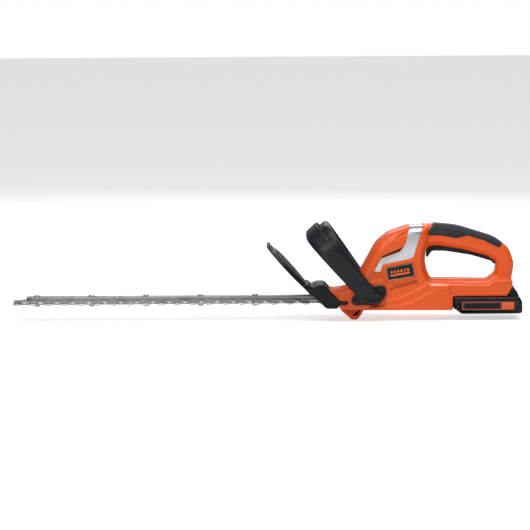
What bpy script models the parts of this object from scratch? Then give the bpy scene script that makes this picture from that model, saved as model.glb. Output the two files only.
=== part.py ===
"""Cordless hedge trimmer: two-half housing, geared double blade, bail handle and slide-on battery.

Units are metres, +Z is up, the blade points along -X and the tool's left side is -Y.
Profile points are (along, up, corner radius) in millimetres, measured from the drive gear's axis
and from the plane between the two blades.
"""

import math

import bmesh
import bpy
from mathutils import Matrix, Vector

for old in list(bpy.data.objects):
    bpy.data.objects.remove(old, do_unlink=True)

MM = 0.001
GAP = 0.3 * MM            # between pieces that touch
RUN_GAP = 0.5 * MM        # around pieces that turn or slide

# Cutting gear
TOOTH_PITCH = 25 * MM
TOOTH_COUNT = 19
FIRST_TOOTH_X = -560 * MM
BLADE_THICKNESS = 2.85 * MM
SPINE_HALF = 13 * MM
LOWER_TOOTH_REACH = 30 * MM
UPPER_TOOTH_REACH = 27 * MM
TIP_LENGTH = 6 * MM
BAR_HALF = 9 * MM
BAR_THICKNESS = 5.5 * MM
BOLT_COUNT = 5
BOLT_PITCH = 85.2 * MM
FIRST_BOLT_X = -529.5 * MM
BOLT_RADIUS = 2.5 * MM
BOLT_HEAD_RADIUS = 4.6 * MM

# Drive
GEAR_MODULE = 1.125 * MM
GEAR_TEETH = 48
PINION_TEETH = 8
GEAR_WIDTH = 7.5 * MM
CAM_THROW = 6.25 * MM
CAM_RADIUS = 12 * MM
SHAFT_RADIUS = 3.5 * MM
BUSH_RADIUS = 6 * MM
BUSH_LENGTH = 4.6 * MM
YOKE_PLAY = 1.35 * MM     # lets a steady follower track the sine of the cam
YOKE_RIM = 5 * MM
CASE_WALL = 3.4 * MM
MOTOR_RADIUS = 20 * MM
MOTOR_HEIGHT = 56 * MM
MOTOR_WALL = 1.8 * MM
MOTOR_SHAFT_RADIUS = 2.2 * MM

# Housing
WALL = 3.0 * MM
SEAM_GAP = 0.3 * MM
BODY_HALF = 36 * MM
BASE_HALF = 35 * MM
GRIP_HALF = 19 * MM
CRADLE_HALF = 34 * MM
BUMPER_HALF = 18 * MM
BASE_Z = -13.0
BUMPER_Z = -28.5
GRIP_SKIN = 1.5 * MM
BAND_SKIN = 1.2 * MM
BADGE_PROUD = 1.8 * MM
BADGE_THICKNESS = 1.0 * MM
SCREW_RADIUS = 1.6 * MM
SCREW_HEAD_RADIUS = 3.2 * MM
SCREW_HEAD_HEIGHT = 2.2 * MM
BOSS_WALL = 1.9 * MM

# Battery
BATTERY_FRONT_X = 120.0
BATTERY_LENGTH = 107.0
BATTERY_TOP_Z = 8.0
BATTERY_HEIGHT = 26.5
BATTERY_SPLIT = 9.0
BATTERY_HALF = 37.5 * MM
BATTERY_WALL = 2.0 * MM
RAIL_HALF = 25 * MM
RAIL_NECK_HALF = 20 * MM
RAIL_HEIGHT = 5.7 * MM
CELL_RADIUS = 9.15 * MM
CELL_LENGTH = 65 * MM
CELL_COUNT = 5
CELL_GAP = 0.4 * MM
LATCH_HALF = 12 * MM

# Bail handle and guard
BAIL_LEAN = math.radians(48)
BAIL_FOOT = (-17.0, 19.0)
BAIL_TOP = 114.0
BAIL_HALF = 60.0
BAIL_FOOT_HALF = 49.0
BAIL_BEND = 22.0
BAIL_SECTION_HALF = 12.0
BAIL_FRONT = -15.0
BAIL_REAR = 13.0
BAIL_WALL = 2.4
LEVER_CLEARANCE = 1.6
FOOT_PLATE = 4.6 * MM
GUARD_HALF = 62.0
GUARD_THICKNESS = 3.5 * MM
GUARD_FOOT = (-103.5, 18.5)
GUARD_LENGTH = 96.0
GUARD_LEAN = math.radians(47.7)
BOOT_WALL = 3.2 * MM

# Trigger and switch
TRIGGER_HALF = 8.5 * MM
PIN_RADIUS = 1.5 * MM
SWITCH_X = (104.0, 130.0)
SWITCH_Z = (97.5, 110.0)
SWITCH_HALF = 8 * MM

ARC_STEPS = 2
ROUND_SIDES = 16

BODY = [(-42, BASE_Z, 2), (91, BASE_Z, 2), (91, 33, 3), (84, 49, 14), (81.5, 63, 12), (80, 90, 20),
        (82, 119, 6), (52, 118.5, 40), (20, 108, 40), (0, 92, 40), (-22, 52, 60), (-37, 27, 20), (-42, 20, 4)]
BASE = [(-56, BASE_Z, 2), (119.5, BASE_Z, 3), (119.5, 33.9, 3), (60, 33.9, 3), (-36, 27, 8),
        (-48, 21.5, 12), (-56, 20, 4)]
NOSE = [(-71, -5.5, 4), (-48, -5.5, 1), (-48, 20.5, 1), (-66, 18.5, 8), (-82, 22, 5), (-96, 17.5, 3)]
HANDLE = [(66, 10, 2), (206, 10, 3), (211.5, 34, 6), (215.5, 58, 25), (207, 83, 25), (182, 100, 50),
          (126, 117.5, 80), (92, 120.8, 30), (66, 118, 2)]
HAND_OPENING = [(86, 33.7, 5), (172, 33.7, 12), (185.5, 43, 9), (187, 61, 6), (172, 70.5, 20), (133, 80.8, 60),
                (95, 87, 20), (78, 84, 10), (76.5, 63, 5), (79, 49, 10)]
CRADLE = [(100, 8.4, 1), (203.5, 8.4, 1), (211.5, 23, 3), (212, 34.3, 3), (100, 34.3, 1)]
BUMPER = [(-59, -7, 1), (-54.5, -14.2, 2), (-38, BUMPER_Z, 3), (-30, BUMPER_Z, 3), (-24, -22, 3), (-17, -10, 1)]
GRIP = [(91, 123, 2), (80.5, 108, 4), (83, 103, 4), (100, 103.2, 15), (126, 98.5, 5), (135, 100.5, 6), (142, 103, 4),
        (168, 95, 20), (191, 83.5, 3), (198, 91, 3), (186, 104, 2), (126, 124, 2)]
BAND = [(53, 122, 1), (45, 91, 5), (36.5, 79, 5), (7, 68.5, 4), (-3.5, 49, 1), (5.5, 48, 1), (10, 60, 4),
        (47.5, 67.5, 3), (57, 70.5, 3), (73, 122, 1)]
BADGE_FRAME = [(14, 30.3, 4), (64.5, 40, 5), (58.5, 67.8, 5), (9.5, 59.5, 4)]
BADGE = [(18.2, 33.6, 2.5), (60.3, 41.2, 2.5), (55.8, 63, 2.5), (14, 54.8, 2.5)]
TRIGGER = [(78.2, 63.5, 1.5), (87, 78, 6), (108, 77.6, 20), (147.5, 71.2, 40), (180, 61.5, 6), (184, 56, 1),
           (185.6, 59, 1), (184, 68, 4), (183.5, 81, 5), (176, 86, 4), (167, 80, 5), (133, 86, 30), (95, 92, 10), (84, 91, 5), (79, 78, 5)]
FOOT_PLATE_OUTLINE = [(-38.5, -3.2, 5), (3.5, -3.6, 9), (16, 14, 6), (13.5, 28.5, 7), (-1, 26.5, 6), (-39, 9.5, 5)]
BOOT = [(-117, 29, 3), (-78, -9, 8), (-60, -9, 3), (-57, -3, 2), (-44, -3, 1.5), (-44, 2.5, 1.5), (-57, 3, 2),
        (-80, 28, 5), (-92, 28, 3), (-100, 24, 2), (-106, 29, 1)]

HOUSING_SCREWS = {"front": (-16, 42), "dome": (5, 82), "top": (67, 103), "rear": (200.5, 61), "base": (98, -1)}
FOOT_SCREWS = {"front": (-33.5, 3), "rear": (8.6, 21.5)}
GUARD_SCREW = (-50.5, -0.3)
TRIGGER_PIVOT = (177, 80)
LEVER_PIVOT = (16.0, 0.0)

# Values that follow from the ones above
blade_top = BLADE_THICKNESS + GAP / 2
bar_bottom = blade_top + GAP
bar_top = bar_bottom + BAR_THICKNESS
gear_radius = GEAR_MODULE * GEAR_TEETH / 2
pinion_radius = GEAR_MODULE * PINION_TEETH / 2
motor_x = gear_radius + pinion_radius
yoke_half = CAM_RADIUS + YOKE_PLAY + GAP
yoke_reach = CAM_RADIUS + CAM_THROW + RUN_GAP
gear_bottom = blade_top + 2 * GAP
gear_top = gear_bottom + GEAR_WIDTH
case_roof = gear_top + RUN_GAP
case_top = case_roof + CASE_WALL
case_floor = -blade_top - 2 * GAP
case_bottom = BASE_Z * MM + WALL + GAP
case_half = BASE_HALF - WALL - GAP
motor_bottom = case_top + GAP
motor_top = motor_bottom + MOTOR_HEIGHT
blade_start = FIRST_TOOTH_X - TIP_LENGTH
battery_lip = BATTERY_TOP_Z * MM + 0.4 * MM + WALL
BATTERY_END_X = BATTERY_FRONT_X + BATTERY_LENGTH
BATTERY_BOTTOM_Z = BATTERY_TOP_Z - BATTERY_HEIGHT
bail_along = Vector((-math.cos(BAIL_LEAN), 0, math.sin(BAIL_LEAN)))
bail_back = Vector((math.sin(BAIL_LEAN), 0, math.cos(BAIL_LEAN)))
shift = Vector((-(blade_start + BATTERY_END_X * MM) / 2, 0, -BUMPER_Z * MM))

frame = bpy.data.objects.new("trimmer_frame", None)
frame.location = shift
bpy.context.collection.objects.link(frame)


def material(name, color, roughness, metallic=0.0):
    made = bpy.data.materials.get(name) or bpy.data.materials.new(name)
    made.use_nodes = True
    shader = made.node_tree.nodes["Principled BSDF"]
    shader.inputs["Base Color"].default_value = (*color, 1)
    shader.inputs["Roughness"].default_value = roughness
    shader.inputs["Metallic"].default_value = metallic
    return made


def orange():
    return material("orange_plastic", (0.80, 0.12, 0.02), 0.4)


def black():
    return material("black_plastic", (0.012, 0.014, 0.018), 0.45)


def rubber():
    return material("grip_rubber", (0.02, 0.022, 0.026), 0.7)


def silver():
    return material("silver_trim", (0.45, 0.47, 0.49), 0.35, 0.2)


def blade_steel():
    return material("blade_steel", (0.30, 0.31, 0.32), 0.4, 1.0)


def bright_steel():
    return material("bright_steel", (0.55, 0.56, 0.58), 0.3, 1.0)


def cast_metal():
    return material("cast_metal", (0.42, 0.43, 0.44), 0.5, 1.0)


def bronze():
    return material("bush_bronze", (0.45, 0.25, 0.09), 0.4, 1.0)


def label():
    return material("badge_plate", (0.02, 0.02, 0.022), 0.3)


def add_object(name, mesh_data, finish):
    bmesh.ops.remove_doubles(mesh_data, verts=mesh_data.verts, dist=1e-6)
    bmesh.ops.recalc_face_normals(mesh_data, faces=mesh_data.faces)
    mesh = bpy.data.meshes.new(name)
    mesh_data.to_mesh(mesh)
    mesh_data.free()
    made = bpy.data.objects.new(name, mesh)
    bpy.context.collection.objects.link(made)
    made.parent = frame
    mesh.materials.append(finish)
    return made


def place_origin(piece, point):
    """Moves the piece's origin to a point of the frame and leaves its shape where it is."""
    piece.data.transform(Matrix.Translation(-Vector(point)))
    piece.location = point


def boolean(target, other, operation):
    step = target.modifiers.new("shape", "BOOLEAN")
    step.operation = operation
    step.solver = "EXACT"
    step.object = other
    bpy.context.view_layer.objects.active = target
    bpy.ops.object.modifier_apply(modifier=step.name)
    bpy.data.objects.remove(other, do_unlink=True)


def join(target, *others):
    for other in others:
        boolean(target, other, "UNION")
    return target


def cut(target, *others):
    for other in others:
        boolean(target, other, "DIFFERENCE")
    return target


def keep(target, other):
    boolean(target, other, "INTERSECT")
    return target


def finish_smooth(piece, angle=35):
    piece.data.shade_smooth()
    piece.data.set_sharp_from_angle(angle=math.radians(angle))
    return piece


def moved_corners(corners, inset):
    """Sharp corners of a counter-clockwise outline after every side has moved inward by inset."""
    count = len(corners)
    moved = []
    for i in range(count):
        before, here, after = (Vector(corners[(i + k) % count][:2]) for k in (-1, 0, 1))
        entering = (here - before).normalized()
        leaving = (after - here).normalized()
        inward_in = Vector((-entering.y, entering.x))
        inward_out = Vector((-leaving.y, leaving.x))
        miter = inward_in + inward_out
        moved.append(here + miter * (inset * 2 / miter.length_squared))
    return moved


def outline(corners, inset=0.0, arc_steps=ARC_STEPS):
    """Points of a rounded outline in metres. Corners are in millimetres and inset is in metres."""
    area = sum(a[0] * b[1] - b[0] * a[1] for a, b in zip(corners, corners[1:] + corners[:1]))
    if area < 0:
        corners = corners[::-1]
    inset_mm = inset / MM
    sharp = moved_corners(corners, inset_mm)
    points = []
    for i, corner in enumerate(sharp):
        entering = (corner - sharp[i - 1]).normalized()
        leaving = (sharp[(i + 1) % len(sharp)] - corner).normalized()
        turn = entering.angle_signed(leaving)
        convex = turn < 0
        if corners[i][2] == 0:
            points.append(corner * MM)
            continue
        radius = max(corners[i][2] - inset_mm if convex else corners[i][2] + inset_mm, 0.05)
        reach = radius * math.tan(abs(turn) / 2)
        start = corner - entering * reach
        side = Vector((-entering.y, entering.x)) * (1 if convex else -1)
        centre = start + side * radius
        spoke = start - centre
        for step in range(arc_steps + 1):
            swing = -turn * step / arc_steps
            turned = Vector((spoke.x * math.cos(swing) - spoke.y * math.sin(swing),
                             spoke.x * math.sin(swing) + spoke.y * math.cos(swing)))
            points.append((centre + turned) * MM)
    return points


def loft(name, rings, finish, looped=False):
    """A closed solid through rings of equal length, capped at both ends unless looped."""
    mesh_data = bmesh.new()
    rows = [[mesh_data.verts.new(point) for point in ring] for ring in rings]
    pairs = list(zip(rows, rows[1:]))
    if looped:
        pairs.append((rows[-1], rows[0]))
    for row, after in pairs:
        for i in range(len(row)):
            j = (i + 1) % len(row)
            mesh_data.faces.new((row[i], row[j], after[j], after[i]))
    if not looped:
        mesh_data.faces.new(rows[0][::-1])
        mesh_data.faces.new(rows[-1])
    return add_object(name, mesh_data, finish)


def side_prism(name, corners, low, high, finish, inset=0.0):
    """Side-view outline extruded across the tool from low to high."""
    ring = outline(corners, inset)
    return loft(name, [[(p.x, y, p.y) for p in ring] for y in (low, high)], finish)


def pillow(name, corners, half, soft_in, soft_out, finish, inset=0.0, steps=3):
    """Side-view outline across the whole width with both outer edges rounded. A hollow is made coarser."""
    arc_steps = ARC_STEPS
    if inset >= WALL:
        steps = 2
        arc_steps = 1
    profile = [(half - inset - soft_out + soft_out * math.sin(k * math.pi / 2 / steps),
                inset + soft_in * (1 - math.cos(k * math.pi / 2 / steps))) for k in range(steps + 1)]
    rows = [(-y, depth) for y, depth in profile[::-1]] + profile
    rings = [[(p.x, y, p.y) for p in outline(corners, depth, arc_steps)] for y, depth in rows]
    return loft(name, rings, finish)


def plan_prism(name, corners, low, high, finish):
    """Plan-view outline extruded upward."""
    ring = outline(corners)
    return loft(name, [[(p.x, p.y, z) for p in ring] for z in (low, high)], finish)


def box(name, low, high, finish):
    corners = [(low[0], low[1]), (high[0], low[1]), (high[0], high[1]), (low[0], high[1])]
    return loft(name, [[(x, y, z) for x, y in corners] for z in (low[2], high[2])], finish)


def turned(name, profile, centre, finish, axis="Z", sides=ROUND_SIDES):
    """Solid of revolution through (radius, height) points; a radius of 0 at the ends closes it."""
    mesh_data = bmesh.new()
    rows = []
    for radius, height in profile:
        row = []
        for k in range(sides):
            angle = 2 * math.pi * k / sides
            row.append(mesh_data.verts.new((radius * math.cos(angle), radius * math.sin(angle), height)))
        rows.append(row)
    hollow = profile[0][0] > 0
    pairs = list(zip(rows, rows[1:] + (rows[:1] if hollow else [])))
    for row, after in pairs:
        for i in range(sides):
            j = (i + 1) % sides
            mesh_data.faces.new((row[i], row[j], after[j], after[i]))
    bmesh.ops.remove_doubles(mesh_data, verts=mesh_data.verts, dist=1e-7)
    if axis == "Y":
        bmesh.ops.rotate(mesh_data, verts=mesh_data.verts, matrix=Matrix.Rotation(-math.pi / 2, 3, "X"))
    bmesh.ops.translate(mesh_data, verts=mesh_data.verts, vec=centre)
    return add_object(name, mesh_data, finish)


def rod(name, radius, low, high, centre, finish, axis="Z", sides=ROUND_SIDES):
    return turned(name, [(0, low), (radius, low), (radius, high), (0, high)], centre, finish, axis, sides)


def ring(name, inner, outer, low, high, centre, finish, axis="Z", sides=ROUND_SIDES):
    return turned(name, [(inner, low), (outer, low), (outer, high), (inner, high)], centre, finish, axis, sides)


def at(x, z, y=0.0):
    """A side-view place in millimetres as a point of the frame."""
    return Vector((x * MM, y, z * MM))


# ---------------------------------------------------------------- housing

def housing_skin(name, inset=0.0):
    """The outer form of both halves together, or the hollow inside it."""
    skin = pillow(name, BODY, BODY_HALF, 14 * MM, 18 * MM, orange(), inset, 3)
    others = [
        pillow("base_form", BASE, BASE_HALF, 5 * MM, 5 * MM, orange(), inset),
        pillow("nose_form", NOSE, BASE_HALF - 0.4 * MM, 3 * MM, 4 * MM, orange(), inset),
        pillow("cradle_form", CRADLE, CRADLE_HALF, 3 * MM, 4 * MM, orange(), inset),
        handle_form("handle_form", inset),
    ]
    if inset == 0:
        others.append(side_prism("bumper_form", BUMPER, -BUMPER_HALF, BUMPER_HALF, orange()))
    join(skin, *others)
    return cut(skin, opening_form("opening_form", -inset))


def handle_form(name, inset=0.0):
    return pillow(name, HANDLE, GRIP_HALF, 9 * MM, 11 * MM, orange(), inset)


def opening_form(name, inset):
    """The hand opening, flared at both faces so that the handle's inner edge is round."""
    flare = 6 * MM
    start = GRIP_HALF - 9 * MM
    stations = [(start, 0), (start + 0.6 * flare, 0.25 * flare), (GRIP_HALF + MM, flare), (BODY_HALF + MM, flare)]
    rows = [(-y, -grow) for y, grow in stations[::-1]] + [(y, -grow) for y, grow in stations]
    rings = [[(p.x, y, p.y) for p in outline(HAND_OPENING, inset + grow)] for y, grow in rows]
    return loft(name, rings, orange())


def boss_radius(side):
    return SCREW_HEAD_RADIUS + GAP + BOSS_WALL if side > 0 else SCREW_RADIUS + GAP + BOSS_WALL


def screw_seat():
    return 8 * MM


def pin_boss_start():
    return GRIP_HALF - WALL - 2 * MM


def housing_hollow(side):
    """The space inside one half, less the bosses and ribs that stay."""
    hollow = housing_skin("hollow", WALL)
    for place in HOUSING_SCREWS.values():
        cut(hollow, rod("boss", boss_radius(side), -BODY_HALF, BODY_HALF, at(*place), orange(), "Y", 10))
    for height in (0.25, 0.8):
        level = motor_bottom + MOTOR_HEIGHT * height
        rib = box("rib", (motor_x - MOTOR_RADIUS - 6 * MM, -BODY_HALF, level),
                  (motor_x + MOTOR_RADIUS + 6 * MM, BODY_HALF, level + 2.5 * MM), orange())
        cut(rib, rod("bore", MOTOR_RADIUS + 2 * GAP, -MM, MOTOR_HEIGHT, (motor_x, 0, level - MM), orange(), sides=20))
        cut(hollow, rib)
    for low, high in ((-GRIP_HALF, -pin_boss_start()), (pin_boss_start(), GRIP_HALF)):
        cut(hollow, rod("pin_boss", PIN_RADIUS + GAP + BOSS_WALL, low, high, at(*TRIGGER_PIVOT), orange(), "Y", 8))
    for x in (SWITCH_X[0] - 2.8, SWITCH_X[1] + 0.3):
        rib = box("rib", (x * MM, -GRIP_HALF, SWITCH_Z[0] * MM - MM), (x * MM + 2.5 * MM, GRIP_HALF, 125 * MM), orange())
        cut(hollow, rib)
    return hollow


def housing_half(name, side):
    half = housing_skin(name)
    cut(half, housing_hollow(side))
    other_side = box("other_side", (-0.2, -0.1, -0.1), (0.3, SEAM_GAP / 2, 0.2), orange()) if side > 0 else \
        box("other_side", (-0.2, -SEAM_GAP / 2, -0.1), (0.3, 0.1, 0.2), orange())
    cut(half, other_side)
    for place in HOUSING_SCREWS.values():
        cut(half, rod("pilot", SCREW_RADIUS + GAP, -14 * MM, screw_seat() + MM, at(*place), orange(), "Y", 8))
        if side > 0:
            cut(half, rod("counterbore", SCREW_HEAD_RADIUS + GAP, screw_seat(), BODY_HALF + MM, at(*place),
                          orange(), "Y", 10))
    cut(half, gearcase_block("gearcase_pocket", case_bottom - 1.5 * GAP, case_top, GAP), blade_mouth(), rail_slot(), rail_exit(), trigger_slot(), grip_recess(), band_recess(side))
    badge_frame(half, side)
    drill_side(half, side)
    socket = GRIP_HALF - WALL + MM
    cut(half, rod("pin_socket", PIN_RADIUS + GAP, -socket, socket, at(*TRIGGER_PIVOT), orange(), "Y", 8))
    return finish_smooth(tidy_faces(half))


def tidy_faces(piece):
    """Merges the flat faces that the cuts left in pieces."""
    mesh_data = bmesh.new()
    mesh_data.from_mesh(piece.data)
    bmesh.ops.dissolve_limit(mesh_data, angle_limit=math.radians(0.5), verts=mesh_data.verts, edges=mesh_data.edges)
    mesh_data.to_mesh(piece.data)
    mesh_data.free()
    return piece


def blade_mouth():
    """The channel through the nose for the blades and the bar above them."""
    half = SPINE_HALF + 1.5 * MM
    return box("mouth", (-0.13, -half, -blade_top - 0.7 * MM), (-0.03, half, bar_top + 2.5 * MM), orange())


def rail_slot():
    return box("rail_slot", (119.2 * MM, -RAIL_NECK_HALF - GAP, 6 * MM), (0.22, RAIL_NECK_HALF + GAP, battery_lip + GAP),
               orange())


def rail_exit():
    return box("rail_exit", (0.2, -RAIL_HALF - GAP, battery_lip - 0.1 * MM),
               (0.22, RAIL_HALF + GAP, battery_lip + GAP * 2 + RAIL_HEIGHT), orange())


def trigger_slot():
    half = TRIGGER_HALF + RUN_GAP
    corners = [(75.6, 60, 1), (75.6, 97, 1), (133, 92, 1), (165, 88, 1), (186.5, 86, 1), (189.5, 54, 1), (172, 60, 1), (133, 70, 1),
               (90, 74, 1)]
    return side_prism("trigger_slot", corners, -half, half, orange())


def grip_recess():
    recess = side_prism("grip_recess", GRIP, -0.05, 0.05, orange(), -GAP)
    core = pillow("grip_core", HANDLE, GRIP_HALF, 9 * MM, 11 * MM, orange(), GRIP_SKIN + GAP)
    return cut(recess, core)


def band_recess(side):
    low, high = sorted((side * 4 * MM, side * 0.05))
    recess = side_prism("band_recess", BAND, low, high, orange(), -GAP)
    core = pillow("band_core", BODY, BODY_HALF, 14 * MM, 18 * MM, orange(), BAND_SKIN, 3)
    return cut(recess, core)


def badge_frame(half, side):
    low, high = sorted((side * (BODY_HALF - WALL / 2), side * (BODY_HALF + BADGE_PROUD)))
    join(half, side_prism("badge_frame", BADGE_FRAME, low, high, orange()))
    low, high = sorted((side * (BODY_HALF + 0.4 * MM), side * (BODY_HALF + 5 * MM)))
    cut(half, side_prism("badge_pocket", BADGE, low, high, orange(), -GAP))


def drill_side(half, side):
    """Holes for the bail's and the guard's side screws."""
    for place in list(FOOT_SCREWS.values()) + [GUARD_SCREW]:
        low, high = sorted((side * (BASE_HALF - 6 * MM), side * 0.06))
        cut(half, rod("side_hole", SCREW_RADIUS + GAP, low, high, at(*place), orange(), "Y", 8))


def rear_grip():
    grip = side_prism("rear_grip", GRIP, -0.05, 0.05, rubber())
    keep(grip, pillow("grip_outer", HANDLE, GRIP_HALF, 9 * MM, 11 * MM, rubber()))
    cut(grip, pillow("grip_core", HANDLE, GRIP_HALF, 9 * MM, 11 * MM, rubber(), GRIP_SKIN))
    return finish_smooth(grip)


def side_band(name, side):
    low, high = sorted((side * (4 * MM + GAP), side * 0.05))
    band = side_prism(name, BAND, low, high, silver())
    keep(band, pillow("band_outer", BODY, BODY_HALF, 14 * MM, 18 * MM, silver(), -0.2 * MM, 3))
    cut(band, pillow("band_core", BODY, BODY_HALF, 14 * MM, 18 * MM, silver(), BAND_SKIN - GAP, 3))
    return finish_smooth(band)


def badge_plate(name, side):
    low, high = sorted((side * (BODY_HALF + 0.4 * MM + GAP), side * (BODY_HALF + 0.4 * MM + GAP + BADGE_THICKNESS)))
    return side_prism(name, BADGE, low, high, label())


def screw(name, length, seat, place, side, finish):
    """A side screw whose head sits outward of seat and whose shank runs inward."""
    profile = [(0, seat - length), (SCREW_RADIUS, seat - length), (SCREW_RADIUS, seat + GAP),
               (SCREW_HEAD_RADIUS, seat + GAP), (SCREW_HEAD_RADIUS, seat + GAP + SCREW_HEAD_HEIGHT),
               (0, seat + GAP + SCREW_HEAD_HEIGHT)]
    if side < 0:
        profile = [(r, -h) for r, h in profile]
    return finish_smooth(turned(name, profile, place, finish, "Y", 10))


# ---------------------------------------------------------------- cutting gear

def bolt_places():
    return [FIRST_BOLT_X + k * BOLT_PITCH for k in range(BOLT_COUNT)]


def tooth_side(first, count, base_half, tip_half, reach):
    """One edge of a blade, from the tip end to the drive end, as (x, y)."""
    points = []
    for k in range(count):
        x = first + k * TOOTH_PITCH
        points += [(x - base_half, SPINE_HALF), (x - tip_half, reach), (x + tip_half, reach), (x + base_half, SPINE_HALF)]
    return points


def blade(name, edge, low, high):
    plate_half = yoke_half + YOKE_RIM
    start = [(blade_start, SPINE_HALF * 0.7)]
    end = [(-plate_half - 8 * MM, SPINE_HALF), (-plate_half, yoke_reach + YOKE_RIM), (plate_half, yoke_reach + YOKE_RIM)]
    right = start + edge + end
    ring_points = right + [(x, -y) for x, y in right[::-1]]
    made = loft(name, [[(x, y, z) for x, y in ring_points] for z in (low, high)], blade_steel())
    for x in bolt_places():
        slot_half = CAM_THROW + BOLT_RADIUS + RUN_GAP
        side = BOLT_RADIUS + GAP
        cut(made, box("slot", (x - slot_half, -side, low - MM), (x + slot_half, side, high + MM), blade_steel()))
    cut(made, box("yoke", (-yoke_half, -yoke_reach, low - MM), (yoke_half, yoke_reach, high + MM), blade_steel()))
    return made


def lower_blade():
    edge = tooth_side(FIRST_TOOTH_X, TOOTH_COUNT, 6.5 * MM, 3.4 * MM, LOWER_TOOTH_REACH)
    return blade("lower_blade", edge, -blade_top, -GAP / 2)


def upper_blade():
    edge = tooth_side(FIRST_TOOTH_X + TOOTH_PITCH / 2, TOOTH_COUNT - 1, 6.5 * MM, 1.5 * MM, UPPER_TOOTH_REACH)
    return blade("upper_blade", edge, GAP / 2, blade_top)


def support_bar():
    tip = FIRST_BOLT_X - 16 * MM
    tail = -(gear_radius + CASE_WALL + 2 * MM)
    corners = [(tip / MM, -5, 2), (tip / MM + 8, -BAR_HALF / MM, 2), (tail / MM, -BAR_HALF / MM, 0),
               (tail / MM, BAR_HALF / MM, 0), (tip / MM + 8, BAR_HALF / MM, 2), (tip / MM, 5, 2)]
    bar = plan_prism("support_bar", corners, bar_bottom, bar_top, blade_steel())
    for x in bolt_places():
        cut(bar, rod("bolt_hole", BOLT_RADIUS + GAP, -MM, bar_top + MM, (x, 0, 0), blade_steel(), sides=16))
    return bar


def blade_bolt(name, x):
    head = bar_top + GAP
    profile = [(0, -blade_top - 4.4 * MM), (BOLT_RADIUS, -blade_top - 4.4 * MM), (BOLT_RADIUS, head),
               (BOLT_HEAD_RADIUS, head), (BOLT_HEAD_RADIUS, head + 1.2 * MM), (BOLT_HEAD_RADIUS * 0.75, head + 2.2 * MM),
               (0, head + 2.2 * MM)]
    return finish_smooth(turned(name, profile, (x, 0, 0), bright_steel(), sides=10))


def blade_nut(name, x):
    top = -blade_top - GAP
    nut = rod(name, 4.8 * MM, top - 3.4 * MM, top, (x, 0, 0), bright_steel(), sides=6)
    return cut(nut, rod("thread", BOLT_RADIUS + GAP, top - 5 * MM, top + MM, (x, 0, 0), bright_steel(), sides=10))


# ---------------------------------------------------------------- drive

def gear_outline(teeth, radius):
    """Straight-flanked teeth about the pitch radius."""
    points = []
    outer = radius + GEAR_MODULE * 0.75
    root = radius - GEAR_MODULE * 1.2
    for k in range(teeth):
        for share, r in ((-0.34, root), (-0.11, outer), (0.11, outer), (0.34, root)):
            angle = 2 * math.pi * (k + share) / teeth
            points.append((r * math.cos(angle), r * math.sin(angle)))
    return points


def gear(name, teeth, radius, centre_x, bore, phase, finish):
    turn = Matrix.Rotation(phase, 2)
    flat = [turn @ Vector(p) for p in gear_outline(teeth, radius)]
    wheel = loft(name, [[(p.x + centre_x, p.y, z) for p in flat] for z in (gear_bottom, gear_top)], finish)
    return cut(wheel, rod("bore", bore, gear_bottom - MM, gear_top + MM, (centre_x, 0, 0), finish, sides=16))


def drive_gear():
    wheel = gear("drive_gear", GEAR_TEETH, gear_radius, 0, SHAFT_RADIUS + GAP, math.pi / GEAR_TEETH, bright_steel())
    place_origin(wheel, (0, 0, gear_bottom))
    return wheel


def cam(name, side, low, high):
    disc = rod(name, CAM_RADIUS, low, high, (0, side * CAM_THROW, 0), bright_steel(), sides=20)
    cut(disc, rod("bore", SHAFT_RADIUS + GAP, low - MM, high + MM, (0, 0, 0), bright_steel(), sides=16))
    place_origin(disc, (0, 0, low))
    return finish_smooth(disc)


def gearcase_block(name, low, high, grow=0.0):
    left = -(gear_radius + GEAR_MODULE + CASE_WALL + grow) / MM
    right = (motor_x + pinion_radius + GEAR_MODULE + CASE_WALL + grow) / MM
    half = (case_half + grow) / MM
    return plan_prism(name, [(left, -half, 4), (right, -half, 4), (right, half, 4), (left, half, 4)], low, high,
                      cast_metal())


def gearcase_upper():
    """Inverted cup over the gear train, open below and in front for the blades and the bar."""
    case = gearcase_block("gearcase_upper", case_floor, case_top)
    room = gear_radius + GEAR_MODULE + RUN_GAP
    clear = yoke_reach + YOKE_RIM + RUN_GAP
    travel = yoke_half + YOKE_RIM + CAM_THROW + RUN_GAP
    cut(case,
        rod("gear_room", room, -0.01, case_roof, (0, 0, 0), cast_metal(), sides=28),
        rod("pinion_room", pinion_radius + GEAR_MODULE + RUN_GAP, -0.01, case_roof, (motor_x, 0, 0), cast_metal()),
        box("blade_room", (-0.06, -clear, -0.01), (travel, clear, gear_bottom - GAP / 2), cast_metal()),
        box("bar_room", (-0.06, -BAR_HALF - GAP, 0), (-gear_radius, BAR_HALF + GAP, bar_top + GAP), cast_metal()),
        rod("bush_seat", BUSH_RADIUS + GAP, case_roof - MM, case_top + MM, (0, 0, 0), cast_metal()),
        rod("motor_hole", pinion_radius + GEAR_MODULE + RUN_GAP, case_roof - MM, case_top + MM, (motor_x, 0, 0),
            cast_metal()))
    for side in (-1, 1):
        cut(case, rod("thread", SCREW_RADIUS + GAP, case_floor - MM, case_floor + 9 * MM,
                      gearcase_screw_place(side), cast_metal(), sides=12))
    return finish_smooth(case)


def gearcase_screw_place(side):
    return (motor_x, side * (case_half - 5 * MM), 0)


def gearcase_lower():
    plate = gearcase_block("gearcase_lower", case_bottom, case_floor - GAP)
    cut(plate, rod("bush_seat", BUSH_RADIUS + GAP, case_bottom - MM, case_floor + MM, (0, 0, 0), cast_metal()))
    for side in (-1, 1):
        place = gearcase_screw_place(side)
        cut(plate, rod("hole", SCREW_RADIUS + GAP, case_bottom - MM, 0, place, cast_metal(), sides=12),
            rod("counterbore", SCREW_HEAD_RADIUS + GAP, case_bottom - MM, case_bottom + SCREW_HEAD_HEIGHT + GAP, place,
                cast_metal(), sides=16))
    return finish_smooth(plate)


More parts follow.
